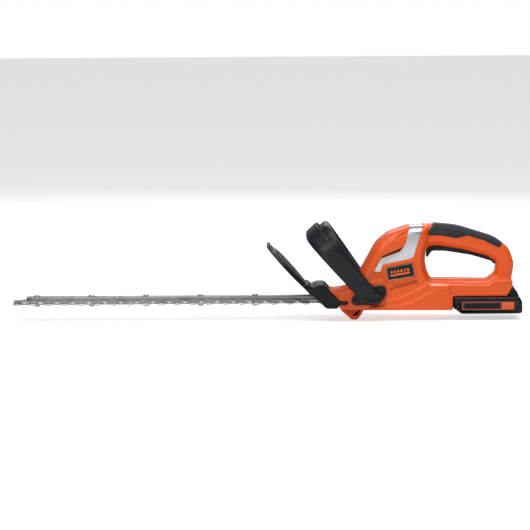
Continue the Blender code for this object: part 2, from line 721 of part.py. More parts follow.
def gearcase_screw(name, side):
    head_top = case_bottom + SCREW_HEAD_HEIGHT
    profile = [(0, case_bottom), (SCREW_HEAD_RADIUS, case_bottom), (SCREW_HEAD_RADIUS, head_top),
               (SCREW_RADIUS, head_top), (SCREW_RADIUS, case_floor + 7 * MM), (0, case_floor + 7 * MM)]
    return finish_smooth(turned(name, profile, gearcase_screw_place(side), bright_steel(), sides=12))


def motor_can():
    inner = MOTOR_RADIUS - MOTOR_WALL
    profile = [(MOTOR_SHAFT_RADIUS + RUN_GAP, 0), (MOTOR_RADIUS, 0), (MOTOR_RADIUS, MOTOR_HEIGHT), (inner, MOTOR_HEIGHT),
               (inner, 2 * MM), (MOTOR_SHAFT_RADIUS + RUN_GAP, 2 * MM)]
    return finish_smooth(turned("motor_can", profile, (motor_x, 0, motor_bottom), cast_metal(), sides=20))


def motor_end_cap():
    profile = [(MOTOR_SHAFT_RADIUS + RUN_GAP, 0), (MOTOR_RADIUS, 0), (MOTOR_RADIUS - 1.5 * MM, 4 * MM), (8 * MM, 4 * MM),
               (8 * MM, 7 * MM), (MOTOR_SHAFT_RADIUS + RUN_GAP, 7 * MM)]
    return finish_smooth(turned("motor_end_cap", profile, (motor_x, 0, motor_top + GAP), black(), sides=20))


def rotor():
    core = MOTOR_RADIUS - MOTOR_WALL - 1.5 * MM
    low = gear_bottom - motor_bottom
    top = MOTOR_HEIGHT + 18 * MM
    profile = [(0, low), (MOTOR_SHAFT_RADIUS, low), (MOTOR_SHAFT_RADIUS, 8 * MM), (core, 9 * MM),
               (core, MOTOR_HEIGHT - 18 * MM), (7 * MM, MOTOR_HEIGHT - 17 * MM), (7 * MM, MOTOR_HEIGHT - 6 * MM),
               (MOTOR_SHAFT_RADIUS, MOTOR_HEIGHT - 6 * MM), (MOTOR_SHAFT_RADIUS, top), (0, top)]
    return finish_smooth(turned("rotor", profile, (motor_x, 0, motor_bottom), bright_steel()))


def fan():
    """Disc with radial vanes on the motor's upper shaft."""
    low = motor_top + 9 * MM
    outer = MOTOR_RADIUS - 2 * MM
    wheel = rod("fan", outer, low, low + 1.5 * MM, (motor_x, 0, 0), black())
    points = []
    vanes = 8
    for k in range(vanes):
        for share, r in ((-0.35, 6 * MM), (-0.06, outer - MM), (0.06, outer - MM), (0.35, 6 * MM)):
            angle = 2 * math.pi * (k + share) / vanes
            points.append((motor_x + r * math.cos(angle), r * math.sin(angle)))
    star = loft("vanes", [[(x, y, z) for x, y in points] for z in (low + MM, low + 7 * MM)], black())
    join(wheel, star)
    return cut(wheel, rod("bore", MOTOR_SHAFT_RADIUS + GAP, low - MM, low + 0.01, (motor_x, 0, 0), black(), sides=16))


def pinion():
    wheel = gear("pinion", PINION_TEETH, pinion_radius, motor_x, MOTOR_SHAFT_RADIUS + GAP, 0, bright_steel())
    return wheel


# ---------------------------------------------------------------- trigger

def trigger():
    lever = side_prism("trigger", TRIGGER, -TRIGGER_HALF, TRIGGER_HALF, black())
    cut(lever, rod("pivot", PIN_RADIUS + GAP, -0.02, 0.02, at(*TRIGGER_PIVOT), black(), "Y", 16))
    place_origin(lever, at(*TRIGGER_PIVOT))
    return lever


def coil(name, centre, radius, wire, height, turns, finish):
    """A compression spring standing on its lower end."""
    steps = 10
    sides = 5
    rings = []
    for k in range(int(turns * steps) + 1):
        angle = 2 * math.pi * k / steps
        rise = height * k / (turns * steps)
        out = Vector((math.cos(angle), math.sin(angle), 0))
        middle = out * radius + Vector((0, 0, rise))
        rings.append([middle + out * wire * math.cos(2 * math.pi * j / sides)
                      + Vector((0, 0, wire * math.sin(2 * math.pi * j / sides))) for j in range(sides)])
    made = loft(name, rings, finish)
    made.data.transform(Matrix.Translation(centre))
    return made


def switch_body():
    low = (SWITCH_X[0] * MM, -SWITCH_HALF, SWITCH_Z[0] * MM)
    high = (SWITCH_X[1] * MM, SWITCH_HALF, SWITCH_Z[1] * MM)
    return box("switch_body", low, high, black())


def trigger_pin():
    half = GRIP_HALF - WALL + 0.6 * MM
    return finish_smooth(rod("trigger_pin", PIN_RADIUS, -half, half, at(*TRIGGER_PIVOT), bright_steel(), "Y", 12))


def trigger_spring():
    """Torsion coil on the trigger's pin, beside the trigger."""
    wire = 0.5 * MM
    spring = coil("trigger_spring", (0, 0, 0), PIN_RADIUS + GAP + 2 * wire, wire, 3.6 * MM, 3, bright_steel())
    spring.data.transform(Matrix.Rotation(-math.pi / 2, 4, "X"))
    spring.data.transform(Matrix.Translation(at(*TRIGGER_PIVOT, y=TRIGGER_HALF + wire + GAP)))
    return spring


# ---------------------------------------------------------------- bail handle

def bail_point(y, u, v):
    """A place in the bail's leaning plane: across, up along the legs and back from the plane, in millimetres."""
    return at(BAIL_FOOT[0], BAIL_FOOT[1], y * MM) + bail_along * (u * MM) + bail_back * (v * MM)


def bail_path(start):
    """Stations (y, u, outward y, outward u) up the left leg, across the top and down the right leg."""
    knee = BAIL_TOP * 0.5
    corners = [(-BAIL_FOOT_HALF, start, 0), (-BAIL_FOOT_HALF, BAIL_BEND, 25), (-BAIL_HALF, knee, 60),
               (-BAIL_HALF, BAIL_TOP, 34)]
    corners += [(-y, u, r) for y, u, r in corners[::-1]]
    points = [Vector(corners[0][:2])]
    for i in range(1, len(corners) - 1):
        before, here, after = (Vector(corners[i + k][:2]) for k in (-1, 0, 1))
        entering = (here - before).normalized()
        leaving = (after - here).normalized()
        turn = entering.angle_signed(leaving)
        reach = corners[i][2] * math.tan(abs(turn) / 2)
        inward = Vector((entering.y, -entering.x)) * math.copysign(1, turn)
        centre = here - entering * reach + inward * corners[i][2]
        spoke = here - entering * reach - centre
        steps = 4 if abs(turn) > 0.8 else 1
        for step in range(steps + 1):
            points.append(centre + Matrix.Rotation(-turn * step / steps, 2) @ spoke)
    points.append(Vector(corners[-1][:2]))
    stations = []
    for i, point in enumerate(points):
        ahead = points[min(i + 1, len(points) - 1)] - points[max(i - 1, 0)]
        ahead.normalize()
        stations.append((point.x, point.y, -ahead.y, ahead.x))
    return stations


def bail_sweep(name, start, section, finish):
    rings = []
    for y, u, out_y, out_u in bail_path(start):
        rings.append([bail_point(y + n * out_y, u + n * out_u, v) for n, v in section(u)])
    return loft(name, rings, finish)


def shell_section(_):
    """Channel open to the rear, with a rounded front."""
    half = BAIL_SECTION_HALF
    inner = half - BAIL_WALL
    front = BAIL_FRONT
    outer_side = [(-half, BAIL_REAR), (-half, front + 6), (-half + 2.5, front + 1.6), (-half + 7, front)]
    inner_side = [(-inner, BAIL_REAR), (-inner, front + 7), (-inner + 2, front + 1.4 + BAIL_WALL),
                  (-inner + 5, front + BAIL_WALL)]
    outer = outer_side + [(-n, v) for n, v in outer_side[::-1]]
    return outer + [(-n, v) for n, v in inner_side] + inner_side[::-1]


def lever_section(u):
    """Solid bar that stands out of the channel's open side, further at the top than at the foot."""
    low = -(BAIL_SECTION_HALF - BAIL_WALL - LEVER_CLEARANCE)
    high = 5.0
    rear = BAIL_REAR - 1 + 0.125 * u
    return [(low, -3), (high, -3), (high, rear - 4), (high - 2, rear - 1), (high - 5, rear), (low + 5, rear),
            (low + 2, rear - 1), (low, rear - 4)]


def bail_shell():
    shell = bail_sweep("bail_shell", -6, shell_section, black())
    for side in (-1, 1):
        low, high = sorted((side * (BODY_HALF + GAP), side * (BODY_HALF + GAP + FOOT_PLATE)))
        join(shell, side_prism("foot_plate", FOOT_PLATE_OUTLINE, low, high, black()))
        for place in FOOT_SCREWS.values():
            low, high = sorted((side * BODY_HALF, side * (BODY_HALF + 0.01)))
            cut(shell, rod("screw_hole", SCREW_RADIUS + GAP, low, high, at(*place), black(), "Y", 12))
    cut(shell, pivot_rod("pin_hole", PIN_RADIUS + GAP, -0.07, 0.07))
    return finish_smooth(tidy_faces(shell))


def pivot_rod(name, radius, low, high):
    centre = bail_point(0, *LEVER_PIVOT)
    return rod(name, radius, low, high, centre, bright_steel(), "Y", 12)


def bail_switch_lever():
    lever = bail_sweep("bail_switch_lever", LEVER_PIVOT[0] - 6, lever_section, black())
    cut(lever, pivot_rod("pin_hole", PIN_RADIUS + GAP, -0.07, 0.07))
    place_origin(lever, bail_point(0, *LEVER_PIVOT))
    return finish_smooth(lever)


def lever_pin(name, side):
    middle = BAIL_FOOT_HALF + 1.5
    low, high = sorted((side * (middle - BAIL_SECTION_HALF + 0.5) * MM, side * (middle + BAIL_SECTION_HALF) * MM))
    return finish_smooth(pivot_rod(name, PIN_RADIUS, low, high))


# ---------------------------------------------------------------- hand guard

def guard_plate():
    """Leaning plate with round upper corners, as a slab between its rear and front faces."""
    along = Vector((-math.cos(GUARD_LEAN), 0, math.sin(GUARD_LEAN)))
    front = Vector((-math.sin(GUARD_LEAN), 0, -math.cos(GUARD_LEAN)))
    foot = (BASE_HALF + BOOT_WALL) / MM
    corners = [(-foot, -6, 0), (foot, -6, 0), (foot, 6, 6), (GUARD_HALF, 34, 20), (GUARD_HALF, 68, 30),
               (GUARD_HALF * 0.6, GUARD_LENGTH, 25), (-GUARD_HALF * 0.6, GUARD_LENGTH, 25), (-GUARD_HALF, 68, 30),
               (-GUARD_HALF, 34, 20), (-foot, 6, 6)]
    flat = outline(corners)
    rings = [[at(*GUARD_FOOT, y=p.x) + along * p.y + front * depth for p in flat] for depth in (0, GUARD_THICKNESS)]
    return loft("guard_plate", rings, black())


def hand_guard():
    half = BASE_HALF + GAP + BOOT_WALL
    guard = pillow("hand_guard", BOOT, half, 1.2 * MM, 1.2 * MM, black(), steps=1)
    join(guard, guard_plate())
    cut(guard,
        side_prism("nose_room", NOSE, -BASE_HALF - GAP, BASE_HALF + GAP, black(), -GAP),
        side_prism("base_room", BASE, -BASE_HALF - GAP, BASE_HALF + GAP, black(), -GAP),
        side_prism("bumper_room", BUMPER, -BUMPER_HALF - GAP, BUMPER_HALF + GAP, black(), -GAP),
        box("mouth", (-0.13, -LOWER_TOOTH_REACH, -blade_top - 1.6 * MM), (-0.06, LOWER_TOOTH_REACH, bar_top + 3 * MM),
            black()))
    for side in (-1, 1):
        low, high = sorted((side * BASE_HALF, side * (half + MM)))
        cut(guard, rod("screw_hole", SCREW_RADIUS + GAP, low, high, at(*GUARD_SCREW), black(), "Y", 12))
    return finish_smooth(tidy_faces(guard))


# ---------------------------------------------------------------- battery

def pack_outline():
    front = BATTERY_FRONT_X
    end = BATTERY_END_X
    low = BATTERY_BOTTOM_Z
    top = BATTERY_TOP_Z
    return [(front, low + 8, 3), (front + 12, low, 4), (end - 3, low, 2), (end, low + 4, 3), (end - 0.5, top - 8, 4),
            (end - 4.5, top, 3), (front, top, 2)]


def pack_form(name, inset=0.0):
    return pillow(name, pack_outline(), BATTERY_HALF, 3 * MM, 3 * MM, black(), inset, 2)


def half_space(name, low, high):
    return box(name, (0.1, -0.05, low), (0.25, 0.05, high), black())


def split_height():
    return (BATTERY_TOP_Z - BATTERY_SPLIT) * MM


def battery_lower_case():
    case = pack_form("battery_lower_case")
    cut(case, pack_form("room", BATTERY_WALL), half_space("above", split_height() - GAP / 2, 0.1))
    return finish_smooth(case)


def tower_outline():
    end = BATTERY_END_X
    top = BATTERY_TOP_Z
    return [(end - 22.5, top - 3, 0.5), (end - 3, top - 5, 1), (end - 8, top + 7, 3), (end - 13.5, top + 13.5, 1),
            (end - 15, top + 13.5, 1)]


def battery_upper_case():
    case = pack_form("battery_upper_case")
    cut(case, half_space("below", -0.1, split_height() + GAP / 2))
    rail_low = battery_lip + GAP
    rail_high = rail_low + RAIL_HEIGHT
    rail_start = (BATTERY_FRONT_X + 4) * MM
    rail_end = (BATTERY_END_X - 14) * MM
    join(case,
         box("rail_neck", (rail_start, -RAIL_NECK_HALF, (BATTERY_TOP_Z - 1) * MM),
             (rail_end, RAIL_NECK_HALF, rail_low + MM), black()),
         box("rail_head", (rail_start, -RAIL_HALF, rail_low), (rail_end, RAIL_HALF, rail_high), black()),
         side_prism("tower", tower_outline(), -0.028, 0.028, black()))
    room = pack_form("room", BATTERY_WALL)
    cut(case, room,
        box("contact_room", (rail_start - MM, -contact_place() - 2 * MM, rail_low + 0.8 * MM),
            (rail_start + 8 * MM, contact_place() + 2 * MM, rail_high + MM), black()),
        box("latch_room", (latch_x() - GAP, -LATCH_HALF - GAP, BATTERY_TOP_Z * MM + 0.5 * MM),
            (latch_x() + 5 * MM + GAP, LATCH_HALF + GAP, 0.05), black()))
    return finish_smooth(tidy_faces(case))


def contact_place():
    return 8 * MM


def latch_x():
    return (BATTERY_END_X - 15.7) * MM


def battery_latch():
    top = BATTERY_TOP_Z
    start = latch_x() / MM
    corners = [(start, top + 3.5, 0.3), (start + 5, top + 3.5, 0.3), (start + 5, top + 11, 0.8), (start + 2.5, top + 15, 1),
               (start, top + 15, 0.5)]
    latch = side_prism("battery_latch", corners, -LATCH_HALF, LATCH_HALF, black())
    place_origin(latch, (latch_x(), 0, top * MM))
    return latch


def battery_cells():
    """Cells side by side, welded to one strip along their ends."""
    middle = BATTERY_BOTTOM_Z * MM + BATTERY_WALL + CELL_RADIUS + GAP
    first = (BATTERY_FRONT_X + 16.2) * MM
    pitch = 2 * CELL_RADIUS + CELL_GAP
    pack = rod("battery_cells", CELL_RADIUS, -CELL_LENGTH / 2, CELL_LENGTH / 2, (first, 0, middle), silver(), "Y", 16)
    for k in range(1, CELL_COUNT):
        place = (first + k * pitch, 0, middle)
        join(pack, rod("cell", CELL_RADIUS, -CELL_LENGTH / 2, CELL_LENGTH / 2, place, silver(), "Y", 16))
        strip = box("strip", (place[0] - pitch, CELL_LENGTH / 2 - 0.5 * MM, middle - 3 * MM),
                    (place[0], CELL_LENGTH / 2 + 0.3 * MM, middle + 3 * MM), silver())
        join(pack, strip)
    return finish_smooth(tidy_faces(pack))


def terminal_block():
    start = (BATTERY_FRONT_X - 9) * MM
    end = (BATTERY_FRONT_X + 1.5) * MM
    low = battery_lip + GAP
    block = box("terminal_block", (start, -15 * MM, low), (end, 15 * MM, low + 9 * MM), black())
    for side in (-1, 1):
        y = side * contact_place()
        join(block, box("contact", (end - MM, y - 0.6 * MM, low + 1.6 * MM), (end + 7 * MM, y + 0.6 * MM, low + 5 * MM),
                        bright_steel()))
    return block


# ---------------------------------------------------------------- build

housing_half("housing_left", -1)
housing_half("housing_right", 1)
rear_grip()
side_band("side_band_left", -1)
side_band("side_band_right", 1)
badge_plate("badge_left", -1)
badge_plate("badge_right", 1)
for place_name, place in HOUSING_SCREWS.items():
    screw(f"housing_screw_{place_name}", 19 * MM, screw_seat(), at(*place), 1, bright_steel())
lower_blade()
upper_blade()
support_bar()
for number, bolt_x in enumerate(bolt_places(), 1):
    blade_bolt(f"blade_bolt_{number}", bolt_x)
    blade_nut(f"blade_nut_{number}", bolt_x)
drive_gear()
cam("upper_cam", 1, GAP / 2, blade_top)
cam("lower_cam", -1, -blade_top, -GAP / 2)
finish_smooth(rod("gear_shaft", SHAFT_RADIUS, case_bottom + GAP, case_top - GAP, (0, 0, 0), bright_steel(), sides=16))
finish_smooth(ring("lower_bush", SHAFT_RADIUS + GAP, BUSH_RADIUS, case_bottom, case_floor - 2 * GAP, (0, 0, 0), bronze()))
finish_smooth(ring("upper_bush", SHAFT_RADIUS + GAP, BUSH_RADIUS, case_roof, case_top, (0, 0, 0), bronze()))
gearcase_upper()
gearcase_lower()
gearcase_screw("gearcase_screw_left", -1)
gearcase_screw("gearcase_screw_right", 1)
motor_can()
motor_end_cap()
rotor()
pinion()
fan()
trigger()
trigger_pin()
trigger_spring()
switch_body()
bail_shell()
bail_switch_lever()
lever_pin("lever_pin_left", -1)
lever_pin("lever_pin_right", 1)
for side_name, side in (("left", -1), ("right", 1)):
    for place_name, place in FOOT_SCREWS.items():
        seat = BODY_HALF + GAP + FOOT_PLATE
        screw(f"bail_screw_{side_name}_{place_name}", 16 * MM, seat, at(*place), side,
              bright_steel())
    screw(f"guard_screw_{side_name}", 13 * MM, BASE_HALF + GAP + BOOT_WALL, at(*GUARD_SCREW), side, bright_steel())
hand_guard()
battery_lower_case()
battery_upper_case()
battery_latch()
battery_cells()
terminal_block()
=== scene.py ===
import math

import bmesh
import bpy
from mathutils import Matrix, Vector


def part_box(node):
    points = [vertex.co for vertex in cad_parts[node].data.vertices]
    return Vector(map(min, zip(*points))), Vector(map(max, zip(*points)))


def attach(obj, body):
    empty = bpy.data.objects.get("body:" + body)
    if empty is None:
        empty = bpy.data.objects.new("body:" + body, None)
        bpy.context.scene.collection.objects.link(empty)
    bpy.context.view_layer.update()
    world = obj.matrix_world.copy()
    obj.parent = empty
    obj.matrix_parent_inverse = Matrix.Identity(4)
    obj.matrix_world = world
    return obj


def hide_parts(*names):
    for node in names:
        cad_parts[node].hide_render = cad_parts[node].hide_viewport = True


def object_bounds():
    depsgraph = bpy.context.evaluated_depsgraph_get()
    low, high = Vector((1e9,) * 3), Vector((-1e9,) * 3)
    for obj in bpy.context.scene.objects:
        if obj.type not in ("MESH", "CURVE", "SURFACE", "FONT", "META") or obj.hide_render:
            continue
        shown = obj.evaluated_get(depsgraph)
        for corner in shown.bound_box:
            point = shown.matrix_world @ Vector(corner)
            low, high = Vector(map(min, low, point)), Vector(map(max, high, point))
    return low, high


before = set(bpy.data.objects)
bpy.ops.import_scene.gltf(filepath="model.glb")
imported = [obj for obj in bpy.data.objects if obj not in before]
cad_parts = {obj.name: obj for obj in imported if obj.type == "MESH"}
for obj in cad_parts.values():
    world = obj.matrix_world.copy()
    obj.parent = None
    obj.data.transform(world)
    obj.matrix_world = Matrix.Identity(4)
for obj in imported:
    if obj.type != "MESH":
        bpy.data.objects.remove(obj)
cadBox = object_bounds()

mm = 0.001
smoothAngle = 35

# everything is placed from the drive gear's axis and from the plane between the blades
gearLow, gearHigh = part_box("drive_gear")
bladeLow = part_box("upper_blade")[0]
datumX = (gearLow[0] + gearHigh[0]) / 2
halfBladeGap = 0.15 * mm
datumZ = bladeLow[2] - halfBladeGap


def place(x, z, y=0.0):  # a side-view place and the distance across, in millimetres
    return Vector((datumX + x * mm, y * mm, datumZ + z * mm))


# the camera's aim and the width that it sees in millimetres, and its angles in degrees
view = {"targetX": -172.8, "targetZ": 56.4, "elevation": 6.0, "turn": 0.0, "roll": 0.37, "lens": 200, "sensor": 36,
        "width": 828.0}
# lamps are a name, a place, an aim, a width and height in metres, and a power
studio = {
    "floorSize": 24, "floorDrop": 0.1, "floorGlow": 0.55, "worldLight": 0.22,
    "lamps": [("topBox", (0.1, -0.5, 1.7), (0.0, 0.0, 0.05), (2.4, 0.5), 26),
              ("frontBox", (-0.7, -2.2, 1.0), (0.1, 0.0, 0.05), (1.0, 0.5), 12),
              ("backBox", (0.4, 1.9, 1.1), (0.0, 0.0, 0.05), (1.8, 0.6), 12)],
}


def makeCamera():
    up = math.radians(view["elevation"])
    turn = math.radians(view["turn"])
    distance = view["width"] * mm * view["lens"] / view["sensor"]
    away = Vector((math.sin(turn) * math.cos(up), -math.cos(turn) * math.cos(up), math.sin(up)))
    bpy.ops.object.camera_add(location=place(view["targetX"], view["targetZ"]) + away * distance)
    camera = bpy.context.object
    camera.name = "viewCamera"
    look = (-away).to_track_quat("-Z", "Y").to_matrix()
    camera.rotation_euler = (look @ Matrix.Rotation(math.radians(-view["roll"]), 3, "Z")).to_euler()
    camera.data.lens = view["lens"]
    camera.data.sensor_width = view["sensor"]
    camera.data.clip_end = 50
    bpy.context.scene.camera = camera
    bpy.context.scene.view_settings.view_transform = "Standard"


def makeFloor():
    level = cadBox[0][2] - studio["floorDrop"] * mm
    bpy.ops.mesh.primitive_plane_add(size=studio["floorSize"], location=(0, 0, level))
    floor = bpy.context.object
    floor.name = "studioFloor"
    paper = bpy.data.materials.new("studioPaper")
    paper.use_nodes = True
    shader = paper.node_tree.nodes["Principled BSDF"]
    shader.inputs["Base Color"].default_value = (0.9, 0.9, 0.9, 1)
    shader.inputs["Roughness"].default_value = 0.95
    shader.inputs["Specular IOR Level"].default_value = 0.05
    shader.inputs["Emission Color"].default_value = (1, 1, 1, 1)
    seen = paper.node_tree.nodes.new("ShaderNodeLightPath")
    glow = paper.node_tree.nodes.new("ShaderNodeMath")
    glow.operation = "MULTIPLY"
    glow.inputs[1].default_value = studio["floorGlow"]
    paper.node_tree.links.new(seen.outputs["Is Camera Ray"], glow.inputs[0])
    paper.node_tree.links.new(glow.outputs["Value"], shader.inputs["Emission Strength"])
    floor.data.materials.append(paper)


def softbox(name, position, aim, size, power):
    bpy.ops.object.light_add(type="AREA", location=position)
    lamp = bpy.context.object
    lamp.name = name
    lamp.data.shape = "RECTANGLE"
    lamp.data.size, lamp.data.size_y = size
    lamp.data.energy = power
    lamp.rotation_euler = (Vector(aim) - Vector(position)).to_track_quat("-Z", "Y").to_euler()


def makeLight():  # a soft world that the camera itself sees as plain white
    world = bpy.data.worlds.new("studioWorld")
    bpy.context.scene.world = world
    world.use_nodes = True
    tree = world.node_tree
    soft = tree.nodes["Background"]
    plain = tree.nodes.new("ShaderNodeBackground")
    for background, strength in ((soft, studio["worldLight"]), (plain, 1)):
        background.inputs["Color"].default_value = (1, 1, 1, 1)
        background.inputs["Strength"].default_value = strength
    seen = tree.nodes.new("ShaderNodeLightPath")
    choose = tree.nodes.new("ShaderNodeMixShader")
    tree.links.new(seen.outputs["Is Camera Ray"], choose.inputs[0])
    tree.links.new(soft.outputs[0], choose.inputs[1])
    tree.links.new(plain.outputs[0], choose.inputs[2])
    tree.links.new(choose.outputs[0], tree.nodes["World Output"].inputs["Surface"])
    for lamp in studio["lamps"]:
        softbox(*lamp)


makeCamera()
makeFloor()
makeLight()
print("camera, floor and light")


# shader groups that the materials share
def newGroup(name, inputs, outputs):
    group = bpy.data.node_groups.new(name, "ShaderNodeTree")
    for label, kind, value in inputs:
        socket = group.interface.new_socket(label, in_out="INPUT", socket_type=kind)
        socket.default_value = value
    for label, kind in outputs:
        group.interface.new_socket(label, in_out="OUTPUT", socket_type=kind)
    return group, group.nodes.new("NodeGroupInput"), group.nodes.new("NodeGroupOutput")


def mouldGroup():  # fine moulded grain, slow colour drift and a painted highlight on convex edges, for plastics
    inputs = [("Color", "NodeSocketColor", (0.5, 0.5, 0.5, 1)), ("Drift", "NodeSocketFloat", 0.06),
              ("Grain Scale", "NodeSocketFloat", 900.0), ("Roughness", "NodeSocketFloat", 0.4),
              ("Roughness Spread", "NodeSocketFloat", 0.08), ("Edge Light", "NodeSocketFloat", 0.15)]
    outputs = [("Color", "NodeSocketColor"), ("Roughness", "NodeSocketFloat"), ("Height", "NodeSocketFloat")]
    group, start, end = newGroup("mouldedSurface", inputs, outputs)
    nodes, links = group.nodes, group.links
    where = nodes.new("ShaderNodeTexCoord")
    grain = nodes.new("ShaderNodeTexNoise")
    grain.inputs["Detail"].default_value = 3
    links.new(where.outputs["Object"], grain.inputs["Vector"])
    links.new(start.outputs["Grain Scale"], grain.inputs["Scale"])
    slow = nodes.new("ShaderNodeTexNoise")
    slow.inputs["Scale"].default_value = 14
    slow.inputs["Detail"].default_value = 4
    links.new(where.outputs["Object"], slow.inputs["Vector"])
    spread = nodes.new("ShaderNodeMapRange")
    spread.inputs["From Min"].default_value = 0.3
    spread.inputs["From Max"].default_value = 0.7
    spread.inputs["To Min"].default_value = -0.5
    spread.inputs["To Max"].default_value = 0.5
    links.new(slow.outputs["Fac"], spread.inputs["Value"])
    amount = nodes.new("ShaderNodeMath")
    amount.operation = "MULTIPLY"
    links.new(spread.outputs["Result"], amount.inputs[0])
    links.new(start.outputs["Drift"], amount.inputs[1])
    # painted highlight: convex edges, found by pointiness, are lightened by Edge Light and added to the slow drift
    edge = nodes.new("ShaderNodeNewGeometry")
    rim = nodes.new("ShaderNodeMapRange")
    rim.inputs["From Min"].default_value = 0.52
    rim.inputs["From Max"].default_value = 0.62
    links.new(edge.outputs["Pointiness"], rim.inputs["Value"])
    highlightAndDrift = nodes.new("ShaderNodeMath")
    highlightAndDrift.operation = "MULTIPLY_ADD"
    links.new(rim.outputs["Result"], highlightAndDrift.inputs[0])
    links.new(start.outputs["Edge Light"], highlightAndDrift.inputs[1])
    links.new(amount.outputs["Value"], highlightAndDrift.inputs[2])
    bright = nodes.new("ShaderNodeMath")
    bright.operation = "ADD"
    bright.inputs[1].default_value = 1.0
    links.new(highlightAndDrift.outputs["Value"], bright.inputs[0])
    shade = nodes.new("ShaderNodeHueSaturation")
    links.new(start.outputs["Color"], shade.inputs["Color"])
    links.new(bright.outputs["Value"], shade.inputs["Value"])
    links.new(shade.outputs["Color"], end.inputs["Color"])
    rough = nodes.new("ShaderNodeMath")
    rough.operation = "MULTIPLY_ADD"
    links.new(spread.outputs["Result"], rough.inputs[0])
    links.new(start.outputs["Roughness Spread"], rough.inputs[1])
    links.new(start.outputs["Roughness"], rough.inputs[2])
    links.new(rough.outputs["Value"], end.inputs["Roughness"])
    links.new(grain.outputs["Fac"], end.inputs["Height"])
    return group


def brushGroup():  # long fine scratches along one axis, with darker smears of oil
    inputs = [("Color", "NodeSocketColor", (0.5, 0.5, 0.5, 1)), ("Stretch", "NodeSocketVector", (20.0, 900.0, 900.0)),
              ("Roughness", "NodeSocketFloat", 0.35), ("Roughness Spread", "NodeSocketFloat", 0.2),
              ("Smear", "NodeSocketFloat", 0.2)]
    outputs = [("Color", "NodeSocketColor"), ("Roughness", "NodeSocketFloat"), ("Height", "NodeSocketFloat")]
    group, start, end = newGroup("brushedMetal", inputs, outputs)
    nodes, links = group.nodes, group.links
    where = nodes.new("ShaderNodeTexCoord")
    turn = nodes.new("ShaderNodeVectorMath")
    turn.operation = "MULTIPLY"
    links.new(where.outputs["Object"], turn.inputs[0])
    links.new(start.outputs["Stretch"], turn.inputs[1])
    lines = nodes.new("ShaderNodeTexNoise")
    lines.inputs["Scale"].default_value = 1
    lines.inputs["Detail"].default_value = 5
    links.new(turn.outputs["Vector"], lines.inputs["Vector"])
    blots = nodes.new("ShaderNodeTexNoise")
    blots.inputs["Scale"].default_value = 45
    blots.inputs["Detail"].default_value = 5
    links.new(where.outputs["Object"], blots.inputs["Vector"])
    dark = nodes.new("ShaderNodeMapRange")
    dark.inputs["From Min"].default_value = 0.45
    dark.inputs["From Max"].default_value = 0.75
    links.new(blots.outputs["Fac"], dark.inputs["Value"])
    depth = nodes.new("ShaderNodeMath")
    depth.operation = "MULTIPLY"
    links.new(dark.outputs["Result"], depth.inputs[0])
    links.new(start.outputs["Smear"], depth.inputs[1])
    mix = nodes.new("ShaderNodeMix")
    mix.data_type = "RGBA"
    mix.blend_type = "MULTIPLY"
    links.new(depth.outputs["Value"], mix.inputs["Factor"])
    links.new(start.outputs["Color"], mix.inputs["A"])
    mix.inputs["B"].default_value = (0.25, 0.23, 0.2, 1)
    links.new(mix.outputs["Result"], end.inputs["Color"])
    rough = nodes.new("ShaderNodeMath")
    rough.operation = "MULTIPLY_ADD"
    links.new(lines.outputs["Fac"], rough.inputs[0])
    links.new(start.outputs["Roughness Spread"], rough.inputs[1])
    links.new(start.outputs["Roughness"], rough.inputs[2])
    links.new(rough.outputs["Value"], end.inputs["Roughness"])
    links.new(lines.outputs["Fac"], end.inputs["Height"])
    return group


moulded = mouldGroup()
brushed = brushGroup()


def surface(name, group, values, bump, metallic=0.0, specular=0.5):
    finish = bpy.data.materials.new(name)
    finish.use_nodes = True
    nodes, links = finish.node_tree.nodes, finish.node_tree.links
    shader = nodes["Principled BSDF"]
    shader.inputs["Metallic"].default_value = metallic
    shader.inputs["Specular IOR Level"].default_value = specular
    effect = nodes.new("ShaderNodeGroup")
    effect.node_tree = group
    for label, value in values.items():
        effect.inputs[label].default_value = value
    relief = nodes.new("ShaderNodeBump")
    relief.inputs["Strength"].default_value = bump[0]
    relief.inputs["Distance"].default_value = bump[1] * mm
    links.new(effect.outputs["Color"], shader.inputs["Base Color"])
    links.new(effect.outputs["Roughness"], shader.inputs["Roughness"])
    links.new(effect.outputs["Height"], relief.inputs["Height"])
    links.new(relief.outputs["Normal"], shader.inputs["Normal"])
    return finish


# edge sets how strongly convex edges are lightened, a painted highlight
def plastic(name, color, roughness, grain, drift, edge, bump, specular=0.5):
    values = {"Color": (*color, 1), "Roughness": roughness, "Grain Scale": grain, "Drift": drift, "Edge Light": edge}
    return surface(name, moulded, values, bump, 0.0, specular)


def metal(name, color, roughness, stretch, smear, spread, bump, metallic=1.0):
    values = {"Color": (*color, 1), "Roughness": roughness, "Stretch": stretch, "Smear": smear,
              "Roughness Spread": spread}
    return surface(name, brushed, values, bump, metallic)


